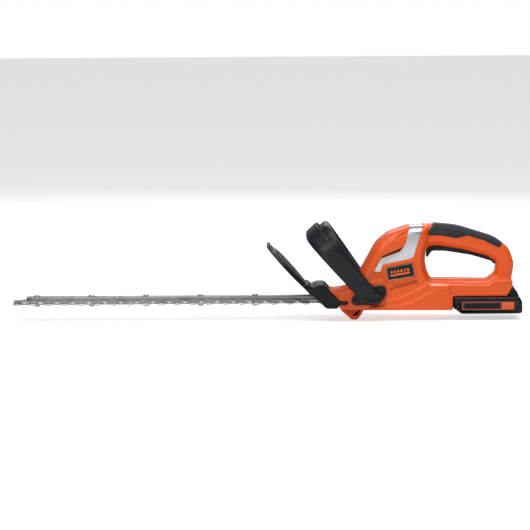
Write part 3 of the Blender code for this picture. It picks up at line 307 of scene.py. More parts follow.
finishes = {
    "orange": plastic("orangePlastic", (0.86, 0.110, 0.012), 0.33, 1500, 0.05, 0.12, (0.15, 0.08), specular=0.42),
    "black": plastic("blackPlastic", (0.007, 0.010, 0.014), 0.4, 1200, 0.2, 1.2, (0.3, 0.12), specular=0.34),
    "guard": plastic("guardPlastic", (0.005, 0.005, 0.006), 0.46, 1200, 0.2, 0.9, (0.3, 0.12), specular=0.3),
    "rubber": plastic("gripRubber", (0.017, 0.021, 0.026), 0.6, 700, 0.15, 0.5, (0.6, 0.25), specular=0.4),
    "pack": plastic("packPlastic", (0.005, 0.004, 0.005), 0.34, 1200, 0.2, 1.4, (0.3, 0.12), specular=0.32),
    "trigger": plastic("triggerPlastic", (0.005, 0.006, 0.008), 0.4, 1200, 0.2, 0.6, (0.3, 0.12), specular=0.3),
    # dark plastic for the badge plate and label strip, also used as painted shade in the gill pocket and slot grooves
    "dark": plastic("darkInlay", (0.008, 0.008, 0.009), 0.45, 1500, 0.1, 0.2, (0.2, 0.08), specular=0.25),
    "silver": metal("silverPaint", (0.72, 0.74, 0.76), 0.3, (900, 900, 900), 0.03, 0.1, (0.1, 0.04)),
    "blade": metal("bladeSteel", (0.50, 0.50, 0.51), 0.33, (25, 1400, 1400), 0.45, 0.22, (0.3, 0.06), 0.7),
    "ground": metal("groundEdge", (0.80, 0.80, 0.81), 0.22, (1400, 60, 60), 0.1, 0.18, (0.35, 0.05), 0.7),
    "bar": metal("barSteel", (0.40, 0.40, 0.41), 0.38, (15, 1200, 1200), 0.4, 0.2, (0.3, 0.06), 0.7),
    "bolt": metal("boltSteel", (0.58, 0.58, 0.59), 0.25, (300, 300, 300), 0.2, 0.15, (0.15, 0.05)),
    "darkScrew": metal("blackScrew", (0.05, 0.05, 0.055), 0.4, (300, 300, 300), 0.2, 0.15, (0.15, 0.05)),
    "cast": metal("castMetal", (0.42, 0.42, 0.43), 0.5, (500, 500, 500), 0.3, 0.2, (0.6, 0.2)),
    "bronze": metal("bushBronze", (0.55, 0.33, 0.14), 0.3, (400, 400, 400), 0.25, 0.15, (0.2, 0.05)),
    "copper": metal("windingCopper", (0.60, 0.22, 0.09), 0.3, (900, 900, 2500), 0.2, 0.2, (0.5, 0.2)),
    "cell": plastic("cellSleeve", (0.03, 0.10, 0.22), 0.3, 1200, 0.1, 0.2, (0.15, 0.06)),
    "switch": plastic("switchBody", (0.05, 0.05, 0.055), 0.45, 1200, 0.1, 0.3, (0.2, 0.08)),
    "marking": plastic("markingOrange", (0.78, 0.12, 0.03), 0.4, 1500, 0.05, 0.1, (0.15, 0.06)),
    "markingDark": plastic("markingDark", (0.045, 0.022, 0.018), 0.4, 1500, 0.05, 0.1, (0.15, 0.06)),
    "lightInk": plastic("lightInk", (0.42, 0.40, 0.39), 0.4, 1500, 0.05, 0.1, (0.15, 0.06)),
}

nodeFinish = {
    "housing_left": "orange", "housing_right": "orange", "rear_grip": "rubber", "side_band_left": "silver",
    "side_band_right": "silver", "badge_left": "dark", "badge_right": "dark", "lower_blade": "blade",
    "upper_blade": "blade", "support_bar": "bar", "drive_gear": "cast", "upper_cam": "cast", "lower_cam": "cast",
    "gear_shaft": "bolt", "lower_bush": "bronze", "upper_bush": "bronze", "gearcase_upper": "cast",
    "gearcase_lower": "cast", "motor_can": "bolt", "motor_end_cap": "switch", "rotor": "copper", "pinion": "bolt",
    "fan": "switch", "trigger": "trigger", "trigger_pin": "bolt", "trigger_spring": "bolt", "switch_body": "switch",
    "bail_shell": "black", "bail_switch_lever": "black", "lever_pin_left": "darkScrew",
    "lever_pin_right": "darkScrew", "hand_guard": "guard",
    "battery_lower_case": "pack", "battery_upper_case": "pack", "battery_latch": "pack",
    "battery_cells": "cell", "terminal_block": "switch",
}


def finishNodes():
    for name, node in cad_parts.items():
        key = nodeFinish.get(name, "bolt")
        if name.startswith(("bail_screw", "guard_screw", "housing_screw")):
            key = "darkScrew"
        node.data.materials.clear()
        node.data.materials.append(finishes[key])


finishNodes()
print("materials")


def leaveEdit():
    if bpy.context.mode != "OBJECT":
        bpy.ops.object.mode_set(mode="OBJECT")
    bpy.ops.object.select_all(action="DESELECT")


def pick(piece):
    leaveEdit()
    piece.select_set(True)
    bpy.context.view_layer.objects.active = piece
    return piece


def roundCorners(corners, inset=0.0, sag=0.12):  # corners are (along, up, radius), walked with rounded turns
    area = sum(a[0] * b[1] - b[0] * a[1] for a, b in zip(corners, corners[1:] + corners[:1]))
    corners = corners[::-1] if area < 0 else corners
    count = len(corners)
    sharp = []
    for i in range(count):
        before, here, after = (Vector(corners[(i + k) % count][:2]) for k in (-1, 0, 1))
        entering, leaving = (here - before).normalized(), (after - here).normalized()
        miter = Vector((-entering.y - leaving.y, entering.x + leaving.x))
        sharp.append(here + miter * (inset * 2 / miter.length_squared))
    points = []
    for i, corner in enumerate(sharp):
        entering, leaving = (corner - sharp[i - 1]).normalized(), (sharp[(i + 1) % count] - corner).normalized()
        turn = entering.angle_signed(leaving)
        convex = turn < 0
        full = corners[i][2]
        if full == 0:
            points.append(corner)
            continue
        radius = max(full - inset if convex else full + inset, 0.05)
        steps = max(2, math.ceil(abs(turn) / (2 * math.acos(max(0.2, 1 - sag / full)))))
        start = corner - entering * radius * math.tan(abs(turn) / 2)
        side = Vector((-entering.y, entering.x)) * (1 if convex else -1)
        centre = start + side * radius
        spoke = start - centre
        for step in range(steps + 1):
            swing = -turn * step / steps
            points.append(centre + Matrix.Rotation(swing, 2) @ spoke)
    return points


def skin(name, rings):  # walks the first ring, closes it and extrudes the cap through the others
    leaveEdit()
    bpy.ops.mesh.primitive_plane_add(size=mm, location=(0, 0, 0))
    piece = bpy.context.object
    piece.name = name
    bpy.ops.object.mode_set(mode="EDIT")
    bpy.ops.mesh.select_all(action="SELECT")
    bpy.ops.mesh.merge(type="CENTER")
    bpy.ops.transform.translate(value=rings[0][0])
    for here, there in zip(rings[0], rings[0][1:]):
        bpy.ops.mesh.extrude_region_move(TRANSFORM_OT_translate={"value": there - here})
    bpy.ops.mesh.select_all(action="SELECT")
    bpy.ops.mesh.edge_face_add()
    for after in rings[1:]:
        bpy.ops.mesh.extrude_region_move()
        edited = bmesh.from_edit_mesh(piece.data)
        corners = sorted((vert for vert in edited.verts if vert.select), key=lambda vert: vert.index)
        for vert, spot in zip(corners, after):
            vert.co = spot
        bmesh.update_edit_mesh(piece.data)
    bpy.ops.mesh.select_all(action="SELECT")
    bpy.ops.mesh.normals_make_consistent(inside=False)
    leaveEdit()
    return piece


def slab(name, corners, low, high, inset=0.0, sag=0.12):  # side-view outline between two distances across
    ring = roundCorners(corners, inset, sag)
    return skin(name, [[place(p.x, p.y, y) for p in ring] for y in (low, high)])


def pillow(name, corners, half, softIn=3.0, softOut=3.0, inset=0.0, steps=6):  # rounded on both faces
    turns = [k * math.pi / 2 / steps for k in range(steps + 1)]
    profile = [(half - inset - softOut * (1 - math.sin(t)), inset + softIn * (1 - math.cos(t))) for t in turns]
    rows = [(-y, depth) for y, depth in profile[::-1]] + profile
    return skin(name, [[place(p.x, p.y, y) for p in roundCorners(corners, depth)] for y, depth in rows])


def spanOf(side, near, far):  # two distances out from the middle, lowest first
    return sorted((side * near, side * far))


def rod(name, radius, start, end, sides=32):
    leaveEdit()
    axis = end - start
    bpy.ops.mesh.primitive_cylinder_add(vertices=sides, radius=radius * mm, depth=axis.length,
                                        location=(start + end) / 2, rotation=axis.to_track_quat("Z", "Y").to_euler())
    piece = bpy.context.object
    piece.name = name
    bpy.ops.object.transform_apply(location=True, rotation=True, scale=True)
    return piece


def crate(name, low, high):  # a block between two corners, for cutting
    leaveEdit()
    bpy.ops.mesh.primitive_cube_add(size=1, location=(low + high) / 2)
    piece = bpy.context.object
    piece.name = name
    piece.scale = high - low
    bpy.ops.object.transform_apply(location=True, rotation=True, scale=True)
    return piece


def combine(piece, others, operation):
    for other in others:
        step = piece.modifiers.new(operation.lower(), "BOOLEAN")
        step.operation = operation
        step.solver = "MANIFOLD"
        step.object = other
        pick(piece)
        bpy.ops.object.modifier_apply(modifier=step.name)
        bpy.data.objects.remove(other)
    return piece


def twin(piece, name):
    leaveEdit()
    copy = piece.copy()
    copy.data = piece.data.copy()
    copy.name = name
    bpy.context.collection.objects.link(copy)
    return copy


def soften(piece, voxel, rounds):  # one even skin, with its joins blended
    step = piece.modifiers.new("remesh", "REMESH")
    step.mode = "VOXEL"
    step.voxel_size = voxel * mm
    blend = piece.modifiers.new("smooth", "SMOOTH")
    blend.factor = 0.5
    blend.iterations = rounds
    pick(piece)
    bpy.ops.object.modifier_apply(modifier="remesh")
    bpy.ops.object.modifier_apply(modifier="smooth")
    return piece


def easeEdges(piece, width, segments=2, angle=35):
    step = piece.modifiers.new("bevel", "BEVEL")
    step.width = width * mm
    step.segments = segments
    step.limit_method = "ANGLE"
    step.angle_limit = math.radians(angle)
    step.use_clamp_overlap = True
    pick(piece)
    bpy.ops.object.modifier_apply(modifier="bevel")
    return piece


def done(piece, body, finish, stands=None):  # shaded, finished, and riding in place of its node
    pick(piece)
    bpy.ops.object.shade_smooth_by_angle(angle=math.radians(smoothAngle))
    piece.data.materials.clear()
    piece.data.materials.append(finishes[finish])
    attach(piece, body)
    if stands:
        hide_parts(stands)
    leaveEdit()
    return piece


housing = {
    "body": [(-42, -13, 2), (91, -13, 2), (91, 33, 3), (84, 49, 14), (81.5, 63, 12), (80, 90, 20), (82, 119, 6),
             (52, 118.5, 40), (20, 108, 40), (0, 92, 40), (-22, 52, 60), (-37, 27, 20), (-42, 20, 4)],
    "base": [(-56, -13, 2), (119.5, -13, 3), (119.5, 33.9, 3), (60, 33.9, 3), (-36, 27, 8), (-48, 21.5, 12),
             (-56, 20, 4)],
    "nose": [(-71, -5.5, 4), (-48, -5.5, 1), (-48, 20.5, 1), (-66, 18.5, 8), (-82, 22, 5), (-96, 17.5, 3)],
    "handle": [(66, 10, 2), (206, 10, 3), (211.5, 34, 6), (215.5, 58, 25), (207, 83, 25), (182, 100, 50),
               (126, 117.5, 80), (92, 120.8, 30), (66, 118, 2)],
    "opening": [(86, 33.7, 5), (172, 33.7, 12), (185.5, 43, 9), (187, 61, 6), (172, 70.5, 20), (133, 80.8, 60),
                (95, 87, 20), (78, 84, 10), (76.5, 63, 5), (79, 49, 10)],
    "cradle": [(100, 8.4, 1), (203.5, 8.4, 1), (211.5, 23, 3), (212, 34.3, 3), (100, 34.3, 1)],
    "bumper": [(-59, -7, 1), (-54.5, -14.2, 2), (-38, -28.5, 3), (-30, -28.5, 3), (-24, -22, 3), (-17, -10, 1)],
    "bumperPocket": [(-49.4, -9.5, 2), (-22.3, -9.5, 2), (-28.5, -22.5, 2), (-37.3, -22.5, 2)],
    "lowStep": [(-14, -12.4, 1), (118.4, -12.4, 2), (118.4, 16, 3), (112, 22, 3), (99, 23, 8), (86, 19, 15),
                (70, 9.5, 25), (54, 1.5, 20), (34, -4.0, 20), (-10, -6.5, 2)],
    "highStep": [(12, -12, 1), (117.5, -12, 2), (117.5, 33.0, 2), (87, 33.0, 4), (79, 30.5, 12), (64, 20.5, 25),
                 (48, 12.6, 25), (32, 7.0, 20), (14, 3.6, 3)],
    "frame": [(14, 30.3, 4), (64.5, 40, 5), (58.5, 67.8, 5), (9.5, 59.5, 4)],
    "badge": [(18.2, 33.6, 2.5), (60.3, 41.2, 2.5), (55.8, 63, 2.5), (14, 54.8, 2.5)],
    "gill": [(5.0, 69.4, 0.4), (7.5, 70.0, 0.5), (36.2, 80.2, 4), (42.6, 88.5, 0.4), (34.5, 83.6, 6), (20, 77.6, 12),
             (10, 73.0, 4)],
    "hollowStep": [(-15, 31, 1), (9.5, 36, 1), (7, 48.5, 2), (-6, 46.5, 2)],
    "slotLow": [(19, 20.2, 0.3), (63, 31.2, 0.3), (63, 32.6, 0.3), (19, 21.6, 0.3)],
    "slotHigh": [(25, 25.0, 0.3), (63.5, 34.2, 0.3), (63.5, 35.4, 0.3), (25, 26.2, 0.3)],
    "domeCrease": [(30, 101.8, 0.3), (42, 107.4, 12), (50, 110.8, 0.3), (50, 111.8, 0.3), (41, 108.6, 12),
                   (30, 102.8, 0.3)],
    "sidePocket": [(113.5, 9, 1.5), (129, 9, 1.5), (129, 31.5, 1.5), (113.5, 31.5, 1.5)],
    "cradlePanel": [(134, 12.5, 1.5), (201, 12.5, 1.5), (205.5, 22, 2), (206, 29, 1.5), (134, 29, 1.5)],
    "noseHollow": [(-66, 8.5, 2), (-44, 8.5, 2), (-42, 18, 2), (-60, 17.0, 3)],
    "band": [(53, 122, 1), (45, 91, 5), (36.5, 79, 5), (7, 68.5, 4), (-3.5, 49, 1), (5.5, 48, 1), (10, 60, 4),
             (47.5, 67.5, 3), (57, 70.5, 3), (73, 122, 1)],
    "grip": [(91, 123, 2), (80.5, 108, 3), (83, 103, 2.2), (100, 103.2, 12), (126, 98.5, 5), (135, 100.5, 6),
             (142, 103, 4), (168, 95, 20), (191, 83.5, 3), (198, 91, 3), (186, 104, 2), (126, 124, 2)],
    "triggerRoom": [(75.6, 60, 1), (75.6, 101, 1), (133, 97, 1), (165, 92, 1), (187.5, 88, 1), (189.5, 54, 1),
                    (172, 60, 1), (133, 70, 1), (90, 74, 1)],
    # half width, rounding on the inner and outer rim, and for the steps the inset and the rows of rounding
    "swells": {"base": (35, 5, 5), "nose": (34.6, 4, 4), "cradle": (34, 3, 4), "bumper": (18, 2.5, 2.5),
               "highStep": (37.6, 1.6, 1.6, 0, 3), "lowStep": (39.2, 2.0, 2.0, 0, 3),
               "frame": (37.8, 1.2, 1.2, 0, 4)},
    # nearest and farthest distance from the middle, and for the crisp pockets the inset of the outline
    "hollows": {"hollowStep": (34.6, 40), "sidePocket": (32.2, 40), "cradlePanel": (33.2, 36),
                "noseHollow": (33.2, 36)},
    "pockets": {"badge": (36.4, 41, -0.3), "gill": (33.4, 41, 0), "slotLow": (34.6, 41, 0), "slotHigh": (34.6, 41, 0),
                "domeCrease": (18, 41, 0), "bumperPocket": (13.5, 20, 0)},
    "driveRooms": [((-130, -3.9, -14.5), (-30, 11.5, 14.5)), ((-36, -9.5, -31.5), (58, 22, 31.5)),
                   ((-50, -4.2, -29), (-30, 5, 29))],
    "motorRoom": {"along": 31.5, "low": 20, "high": 82, "radius": 22},
    "railRooms": [((119.2, 6, -20.4), (220, 11.9, 20.4)), ((119.2, 11.3, -25.5), (220, 18.0, 25.5))],
    "headRoom": {"radius": 3.6, "near": 8, "far": 41}, "triggerRoomHalf": 9.1, "fit": 0.3,
    "voxel": 1.15, "smoothing": 5, "halfSeam": 0.15, "skinDepth": 1.4, "bandDepth": 1.2,
    "screws": {"front": (-16, 42), "dome": (5, 82), "top": (67, 103), "rear": (200.5, 61), "base": (98, -1)},
}


def sideName(side):
    return "left" if side < 0 else "right"


def bodyForm(name, inset=0.0, steps=8):
    return pillow(name, housing["body"], 36, 14, 18, inset, steps)


def handleForm(name, inset=0.0, steps=8):
    return pillow(name, housing["handle"], 19, 9, 11, inset, steps)


def openingForm():  # flared towards both faces
    rows = [(10, 0), (11.5, 0.3), (13.5, 1.3), (16, 3.4), (18, 6), (20, 8), (38, 8)]
    rows = [(-y, -grow) for y, grow in rows[::-1]] + [(y, -grow) for y, grow in rows]
    rings = [[place(p.x, p.y, y) for p in roundCorners(housing["opening"], grow)] for y, grow in rows]
    return skin("handOpening", rings)


def bothSides(name, corners, near, far, inset=0.0):
    return [slab(name, corners, *spanOf(side, near, far), inset) for side in (-1, 1)]


def swelled(key):
    return pillow(key, housing[key], *housing["swells"][key])


def makeHousing():
    form = bodyForm("housing")
    joins = [swelled(key) for key in ("base", "nose", "cradle")] + [handleForm("handle")]
    joins += [swelled(key) for key in ("bumper", "highStep", "lowStep")]
    combine(form, joins, "UNION")
    combine(form, [openingForm()], "DIFFERENCE")
    combine(form, [cut for key, reach in housing["hollows"].items() for cut in bothSides(key, housing[key], *reach)],
            "DIFFERENCE")
    combine(form, [swelled("frame")], "UNION")
    soften(form, housing["voxel"], housing["smoothing"])
    print("housing form", len(form.data.polygons))

    fit = housing["fit"]
    cuts = [cut for key, reach in housing["pockets"].items() for cut in bothSides(key, housing[key], *reach)]
    cuts += [combine(cut, [bodyForm("bandCore", housing["bandDepth"], 6)], "DIFFERENCE")
             for cut in bothSides("bandPocket", housing["band"], 4, 50, -fit)]
    cuts.append(combine(slab("gripPocket", housing["grip"], -50, 50, -fit),
                        [handleForm("gripCore", housing["skinDepth"] + fit, 6)], "DIFFERENCE"))
    head, motor = housing["headRoom"], housing["motorRoom"]
    for spot in housing["screws"].values():
        cuts.append(rod("counterbore", head["radius"], place(*spot, head["near"]), place(*spot, head["far"]), 32))
    # rooms for what moves inside
    cuts += [crate("driveRoom", place(*low), place(*high)) for low, high in housing["driveRooms"]]
    cuts.append(rod("motorRoom", motor["radius"], place(motor["along"], motor["low"]),
                    place(motor["along"], motor["high"]), 48))
    cuts.append(slab("triggerRoom", housing["triggerRoom"], -housing["triggerRoomHalf"], housing["triggerRoomHalf"]))
    cuts += [crate("railRoom", place(*low), place(*high)) for low, high in housing["railRooms"]]
    combine(form, cuts, "DIFFERENCE")
    for side in (-1, 1):
        low, high = sorted((side * housing["halfSeam"], -side * 90))
        half = combine(twin(form, "case_" + sideName(side)),
                       [crate("otherSide", place(-200, -80, low), place(300, 200, high))], "DIFFERENCE")
        done(half, "body", "orange", "housing_" + sideName(side))
        print(half.name, len(half.data.polygons))
    bpy.data.objects.remove(form)


makeHousing()


def fromNode(node, name):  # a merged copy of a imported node, to be finished more finely
    leaveEdit()
    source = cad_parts[node]
    copy = bpy.data.objects.new(name, source.data.copy())
    bpy.context.collection.objects.link(copy)
    pick(copy)
    bpy.ops.object.mode_set(mode="EDIT")
    bpy.ops.mesh.select_all(action="SELECT")
    bpy.ops.mesh.remove_doubles(threshold=0.002 * mm)
    bpy.ops.mesh.dissolve_limited(angle_limit=math.radians(1))
    bpy.ops.mesh.select_all(action="DESELECT")
    leaveEdit()
    return copy


def makeTrim():
    for side in (-1, 1):
        name = sideName(side).title()
        band = slab("bandStrip" + name, housing["band"], *spanOf(side, 4.3, 50))
        combine(band, [bodyForm("bandOuter", -0.2)], "INTERSECT")
        combine(band, [bodyForm("bandInner", housing["bandDepth"] - 0.35)], "DIFFERENCE")
        done(easeEdges(band, 0.25, 2, 50), "body", "silver", "side_band_" + sideName(side))
        # painted shade: a dark sheet set deep in the gill pocket stands for the shade inside that gap
        gill = slab("gillInlay" + name, housing["gill"], *spanOf(side, 33.6, 34.6), 0.1)
        done(easeEdges(gill, 0.1), "body", "dark")
        # painted shade: dark strips laid in the two slot grooves stand for the shade inside them
        for slot in ("slotLow", "slotHigh"):
            line = slab(slot + "Inlay" + name, housing[slot], *spanOf(side, 34.7, 35.6), 0.08)
            done(easeEdges(line, 0.1), "body", "dark")
    outside = combine(crate("outside", place(40, -20, -70), place(240, 160, 70)), [handleForm("gripOuter", -0.5, 6)],
                      "DIFFERENCE")
    grip = combine(slab("rearGripCover", housing["grip"], -30, 30),
                   [handleForm("gripInner", housing["skinDepth"], 6), outside], "DIFFERENCE")
    done(easeEdges(grip, 0.35, 2, 40), "body", "rubber", "rear_grip")


# the plate's low front corner and lean, then distances out from the middle, and the marks along and up the plate
badge = {
    "foot": (18.2, 33.6), "lean": (42.1, 7.6), "plate": (36.5, 37.3), "raised": (37.2, 37.5), "rim": (1.0, 1.6),
    "bar": [(5, 6.0), (36, 6.0), (36, 9.2), (5, 9.2)], "teeth": 6, "firstTooth": 5.4, "pitch": 5.2,
    "tooth": [(0, 10.6), (4.2, 10.6), (3.1, 15.4), (1.1, 15.4)],
}


def onBadge(across, up):
    lean = Vector(badge["lean"]).normalized()
    rise = Vector((-lean.y, lean.x))
    return tuple(Vector(badge["foot"]) + lean * across + rise * up) + (0.5,)


def makeBadges():
    for side in (-1, 1):
        name = sideName(side).title()
        raised = spanOf(side, *badge["raised"])
        plate = slab("badgePlate" + name, housing["badge"], *spanOf(side, *badge["plate"]))
        done(easeEdges(plate, 0.25, 2), "body", "dark", "badge_" + sideName(side))
        rim = slab("badgeRim" + name, housing["badge"], *raised, badge["rim"][0])
        combine(rim, [slab("rimInside", housing["badge"], *spanOf(side, 36, 39), badge["rim"][1])], "DIFFERENCE")
        done(easeEdges(rim, 0.08), "body", "lightInk")
        marks = [slab("mark", [onBadge(*spot) for spot in badge["bar"]], *raised)]
        for k in range(badge["teeth"]):  # a plain row of blade teeth
            start = badge["firstTooth"] + k * badge["pitch"]
            marks.append(slab("mark", [onBadge(start + across, up) for across, up in badge["tooth"]], *raised))
        art = combine(marks[0], marks[1:], "UNION")
        art.name = "badgeMark" + name
        done(art, "body", "marking")


makeTrim()
makeBadges()
print("trim and badges")


bail = {
    "foot": (-17, 19), "lean": 48, "footHalf": 49, "half": 59.9, "top": 114, "bend": 22, "pivotUp": 16, "pin": 1.8,
    "channel": [(-12, 13, 0.8), (-12, -8.5, 6), (-7, -15, 7), (7, -15, 7), (12, -8.5, 6), (12, 13, 0.8),
                (9.6, 13, 0.8), (9.6, -8.0, 4), (5, -12.6, 5), (-5, -12.6, 5), (-9.6, -8.0, 4), (-9.6, 13, 0.8)],
    "plate": [(-38.5, -3.2, 5), (3.5, -3.6, 9), (16, 14, 6), (13.5, 28.5, 7), (-1, 26.5, 6), (-39, 9.5, 5)],
    "knuckle": [(-30, 18, 4), (-22, 3, 6), (-8, -0.8, 8), (5, 1, 6), (10, 7, 5), (6.5, 14, 5), (-1, 18, 5),
                (-4, 26, 6), (-14, 34, 4)],
    "screws": [(-33.5, 3), (8.6, 21.5)], "slots": [(-15.5, 4.5), (-9.5, 3.2), (-3.5, 3.2), (2.0, 4.5)],
}


def bailPlace(y, u, v):  # across, up along the legs and back from their plane
    lean = math.radians(bail["lean"])
    along, up = bail["foot"]
    return place(along - math.cos(lean) * u + math.sin(lean) * v, up + math.sin(lean) * u + math.cos(lean) * v, y)


def bailPath(start):  # stations up the left leg, across the top and down the right leg
    half = [(-bail["footHalf"], start, 0), (-bail["footHalf"], bail["bend"], 25),
            (-bail["half"], bail["top"] / 2, 60), (-bail["half"], bail["top"], 34)]
    corners = half + [(-y, u, r) for y, u, r in half[::-1]]
    points = [Vector(corners[0][:2])]
    for i in range(1, len(corners) - 1):
        before, here, after = (Vector(corners[i + k][:2]) for k in (-1, 0, 1))
        entering, leaving = (here - before).normalized(), (after - here).normalized()
        turn = entering.angle_signed(leaving)
        reach = corners[i][2] * math.tan(abs(turn) / 2)
        inward = Vector((entering.y, -entering.x)) * math.copysign(1, turn)
        centre = here - entering * reach + inward * corners[i][2]
        spoke = here - entering * reach - centre
        steps = 16 if abs(turn) > 0.8 else 5
        points += [centre + Matrix.Rotation(-turn * k / steps, 2) @ spoke for k in range(steps + 1)]
    points.append(Vector(corners[-1][:2]))
    stations = []
    for i, point in enumerate(points):
        ahead = (points[min(i + 1, len(points) - 1)] - points[max(i - 1, 0)]).normalized()
        stations.append((point.x, point.y, -ahead.y, ahead.x))
    return stations


def bailSweep(name, start, section):
    rings = []
    for y, u, outY, outU in bailPath(start):
        ring = roundCorners(section(u))
        rings.append([bailPlace(y + p.x * outY, u + p.x * outU, p.y) for p in ring])
    return skin(name, rings)


def leverSection(u):
    rear = 12 + 0.125 * u
    return [(-8, -3, 1), (5, -3, 1), (5, rear - 4, 2), (2, rear, 3), (-5, rear, 3), (-8, rear - 4, 2)]


def channelSection(u):
    return bail["channel"]


def leverRoomSection(u):  # the lever's section with room to move
    return [(p[0] * 1.3, p[1] + (-1 if p[1] < 0 else 3), p[2]) for p in leverSection(u)]


def bossed(name, side):  # the leg's broad foot, tapering outwards
    rows = [(37.5, -0.5), (50, 0), (56, 0.8), (59.5, 2.4), (60.8, 4.2)]
    return skin(name, [[place(p.x, p.y, side * y) for p in roundCorners(bail["knuckle"], grow)] for y, grow in rows])


def makeBail():
    shell = bailSweep("bailShell", -6, channelSection)
    parts = []
    for side in (-1, 1):
        parts.append(slab("footPlate", bail["plate"], *spanOf(side, 36.35, 40.9)))
        room = bailSweep("leverRoom", 4, leverRoomSection)
        parts.append(combine(bossed("knuckle", side), [room], "DIFFERENCE"))
    combine(shell, parts, "UNION")
    soften(shell, 1.0, 4)
    cuts = []
    for side in (-1, 1):
        for spot in bail["screws"]:
            cuts.append(rod("screwHole", 2.1, place(*spot, side * 30), place(*spot, side * 50), 24))
            cuts.append(rod("headSeat", 3.7, place(*spot, side * 40.2), place(*spot, side * 62), 32))
        for along, up in bail["slots"]:
            line = [(along, up, 0.9), (along + 2.1, up + 0.6, 0.9), (along - 2.4, up + 7.4, 0.9),
                    (along - 4.4, up + 6.6, 0.9)]
            cuts.append(slab("footSlot", line, *spanOf(side, 57.0, 66)))
    pivot = bailPlace(0, bail["pivotUp"], 0)
    across = Vector((0, 70 * mm, 0))
    cuts.append(rod("pinHole", bail["pin"], pivot - across, pivot + across, 24))
    combine(shell, cuts, "DIFFERENCE")
    done(shell, "body", "black", "bail_shell")
    lever = easeEdges(bailSweep("bailLever", 10, leverSection), 0.4, 2, 50)
    combine(lever, [rod("pinHole", bail["pin"], pivot - across, pivot + across, 24)], "DIFFERENCE")
    grooves = []
    for k in range(13):  # grip grooves across the lever's top bar
        y = -24 + 4 * k
        grooves.append(rod("groove", 0.9, bailPlace(y, 101, 27.2), bailPlace(y, 124, 27.2), 12))
    combine(lever, grooves, "DIFFERENCE")
    done(lever, "bail_lever", "black", "bail_switch_lever")


makeBail()
print("bail")


guard = {
    "boot": [(-117, 29, 3), (-78, -9, 8), (-60, -9, 3), (-57, -3, 2), (-44, -3, 1.5), (-44, 2.5, 1.5), (-57, 3, 2),
             (-80, 28, 5), (-92, 28, 3), (-100, 24, 2), (-106, 29, 1)],
    "foot": (-103.5, 18.5), "lean": 47.7, "half": 62, "length": 96, "screw": (-50.5, -0.3),
    "ribs": 7, "firstRib": 22, "ribPitch": 8.5, "ribHeight": 1.6,
}


def guardSlab(name, corners, near, far, soft=0.8):
    lean = math.radians(guard["lean"])
    along = Vector((-math.cos(lean), 0, math.sin(lean)))
    front = Vector((-math.sin(lean), 0, -math.cos(lean)))
    rows = [(near, soft), (near + soft * 0.4, soft * 0.3), (near + soft, 0)]
    rows += [(far - soft, 0), (far - soft * 0.4, soft * 0.3), (far, soft)]
    foot = place(*guard["foot"])
    return skin(name, [[foot + Vector((0, p.x * mm, 0)) + along * p.y * mm + front * depth * mm
                        for p in roundCorners(corners, inset)] for depth, inset in rows])


def makeGuard():
    half, tall = guard["half"], guard["length"]
    blade = guardSlab("handGuard", [(-38, -6, 1), (38, -6, 1), (38, 6, 6), (half, 34, 20), (half, 68, 30),
                                    (half * 0.6, tall, 25), (-half * 0.6, tall, 25), (-half, 68, 30), (-half, 34, 20),
                                    (-38, 6, 6)], 0, 3.4)
    panel = guardSlab("panel", [(-30, 2, 4), (30, 2, 4), (30, 12, 8), (half - 9, 36, 16), (half - 9, 64, 22),
                                (half * 0.5, tall - 14, 16), (-half * 0.5, tall - 14, 16), (-half + 9, 64, 22),
                                (-half + 9, 36, 16), (-30, 12, 8)], -2.6, 1.5)
    lip = guardSlab("lip", [(-half * 0.5, tall - 5, 2), (half * 0.5, tall - 5, 2), (half * 0.48, tall - 0.6, 2),
                            (-half * 0.48, tall - 0.6, 2)], -1.8, 1.5)
    boot = pillow("boot", guard["boot"], 38.5, 1.8, 1.8, 0, 4)
    combine(blade, [panel, lip, boot], "UNION")
    soften(blade, 1.0, 3)
    cuts = [slab("noseRoom", housing["nose"], -35.3, 35.3, -0.3),
            slab("baseRoom", housing["base"], -35.3, 35.3, -0.3),
            slab("bumperRoom", housing["bumper"], -18.3, 18.3, -0.3),
            crate("mouth", place(-130, -4.6, -30.2), place(-60, 11.8, 30.2))]
    for side in (-1, 1):
        cuts.append(rod("screwHole", 2.0, place(*guard["screw"], side * 30), place(*guard["screw"], side * 45), 24))
    for k in range(guard["ribs"]):  # shallow grooves across the face that the hand sees
        up = guard["firstRib"] + k * guard["ribPitch"]
        top = up + guard["ribHeight"]
        wide = 34 + max(0, min(k, 5 - k)) * 2
        cuts.append(guardSlab("groove", [(-wide, up, 0.5), (wide, up, 0.5), (wide, top, 0.5), (-wide, top, 0.5)],
                              -5, -1.9, 0.2))
    combine(blade, cuts, "DIFFERENCE")
    done(blade, "body", "guard", "hand_guard")


makeGuard()
print("guard")


cutting = {"bladeEdge": 1.9, "easing": 0.3, "spineHalf": 13.5, "barEasing": 0.7}


def grindTeeth(blade, level):  # a ground flank along each tooth, on the face away from the other blade
    pick(blade)
    bpy.ops.object.mode_set(mode="EDIT")
    edited = bmesh.from_edit_mesh(blade.data)
    for edge in edited.edges:
        ends = [vert.co for vert in edge.verts]
        outside = max(abs(end.y) for end in ends) > cutting["spineHalf"] * mm + 0.5 * mm
        edge.select = outside and all(abs(end.z - level) < 0.05 * mm for end in ends)
    bmesh.update_edit_mesh(blade.data)
    bpy.ops.mesh.bevel(offset=cutting["bladeEdge"] * mm, segments=1, clamp_overlap=True)
    leaveEdit()


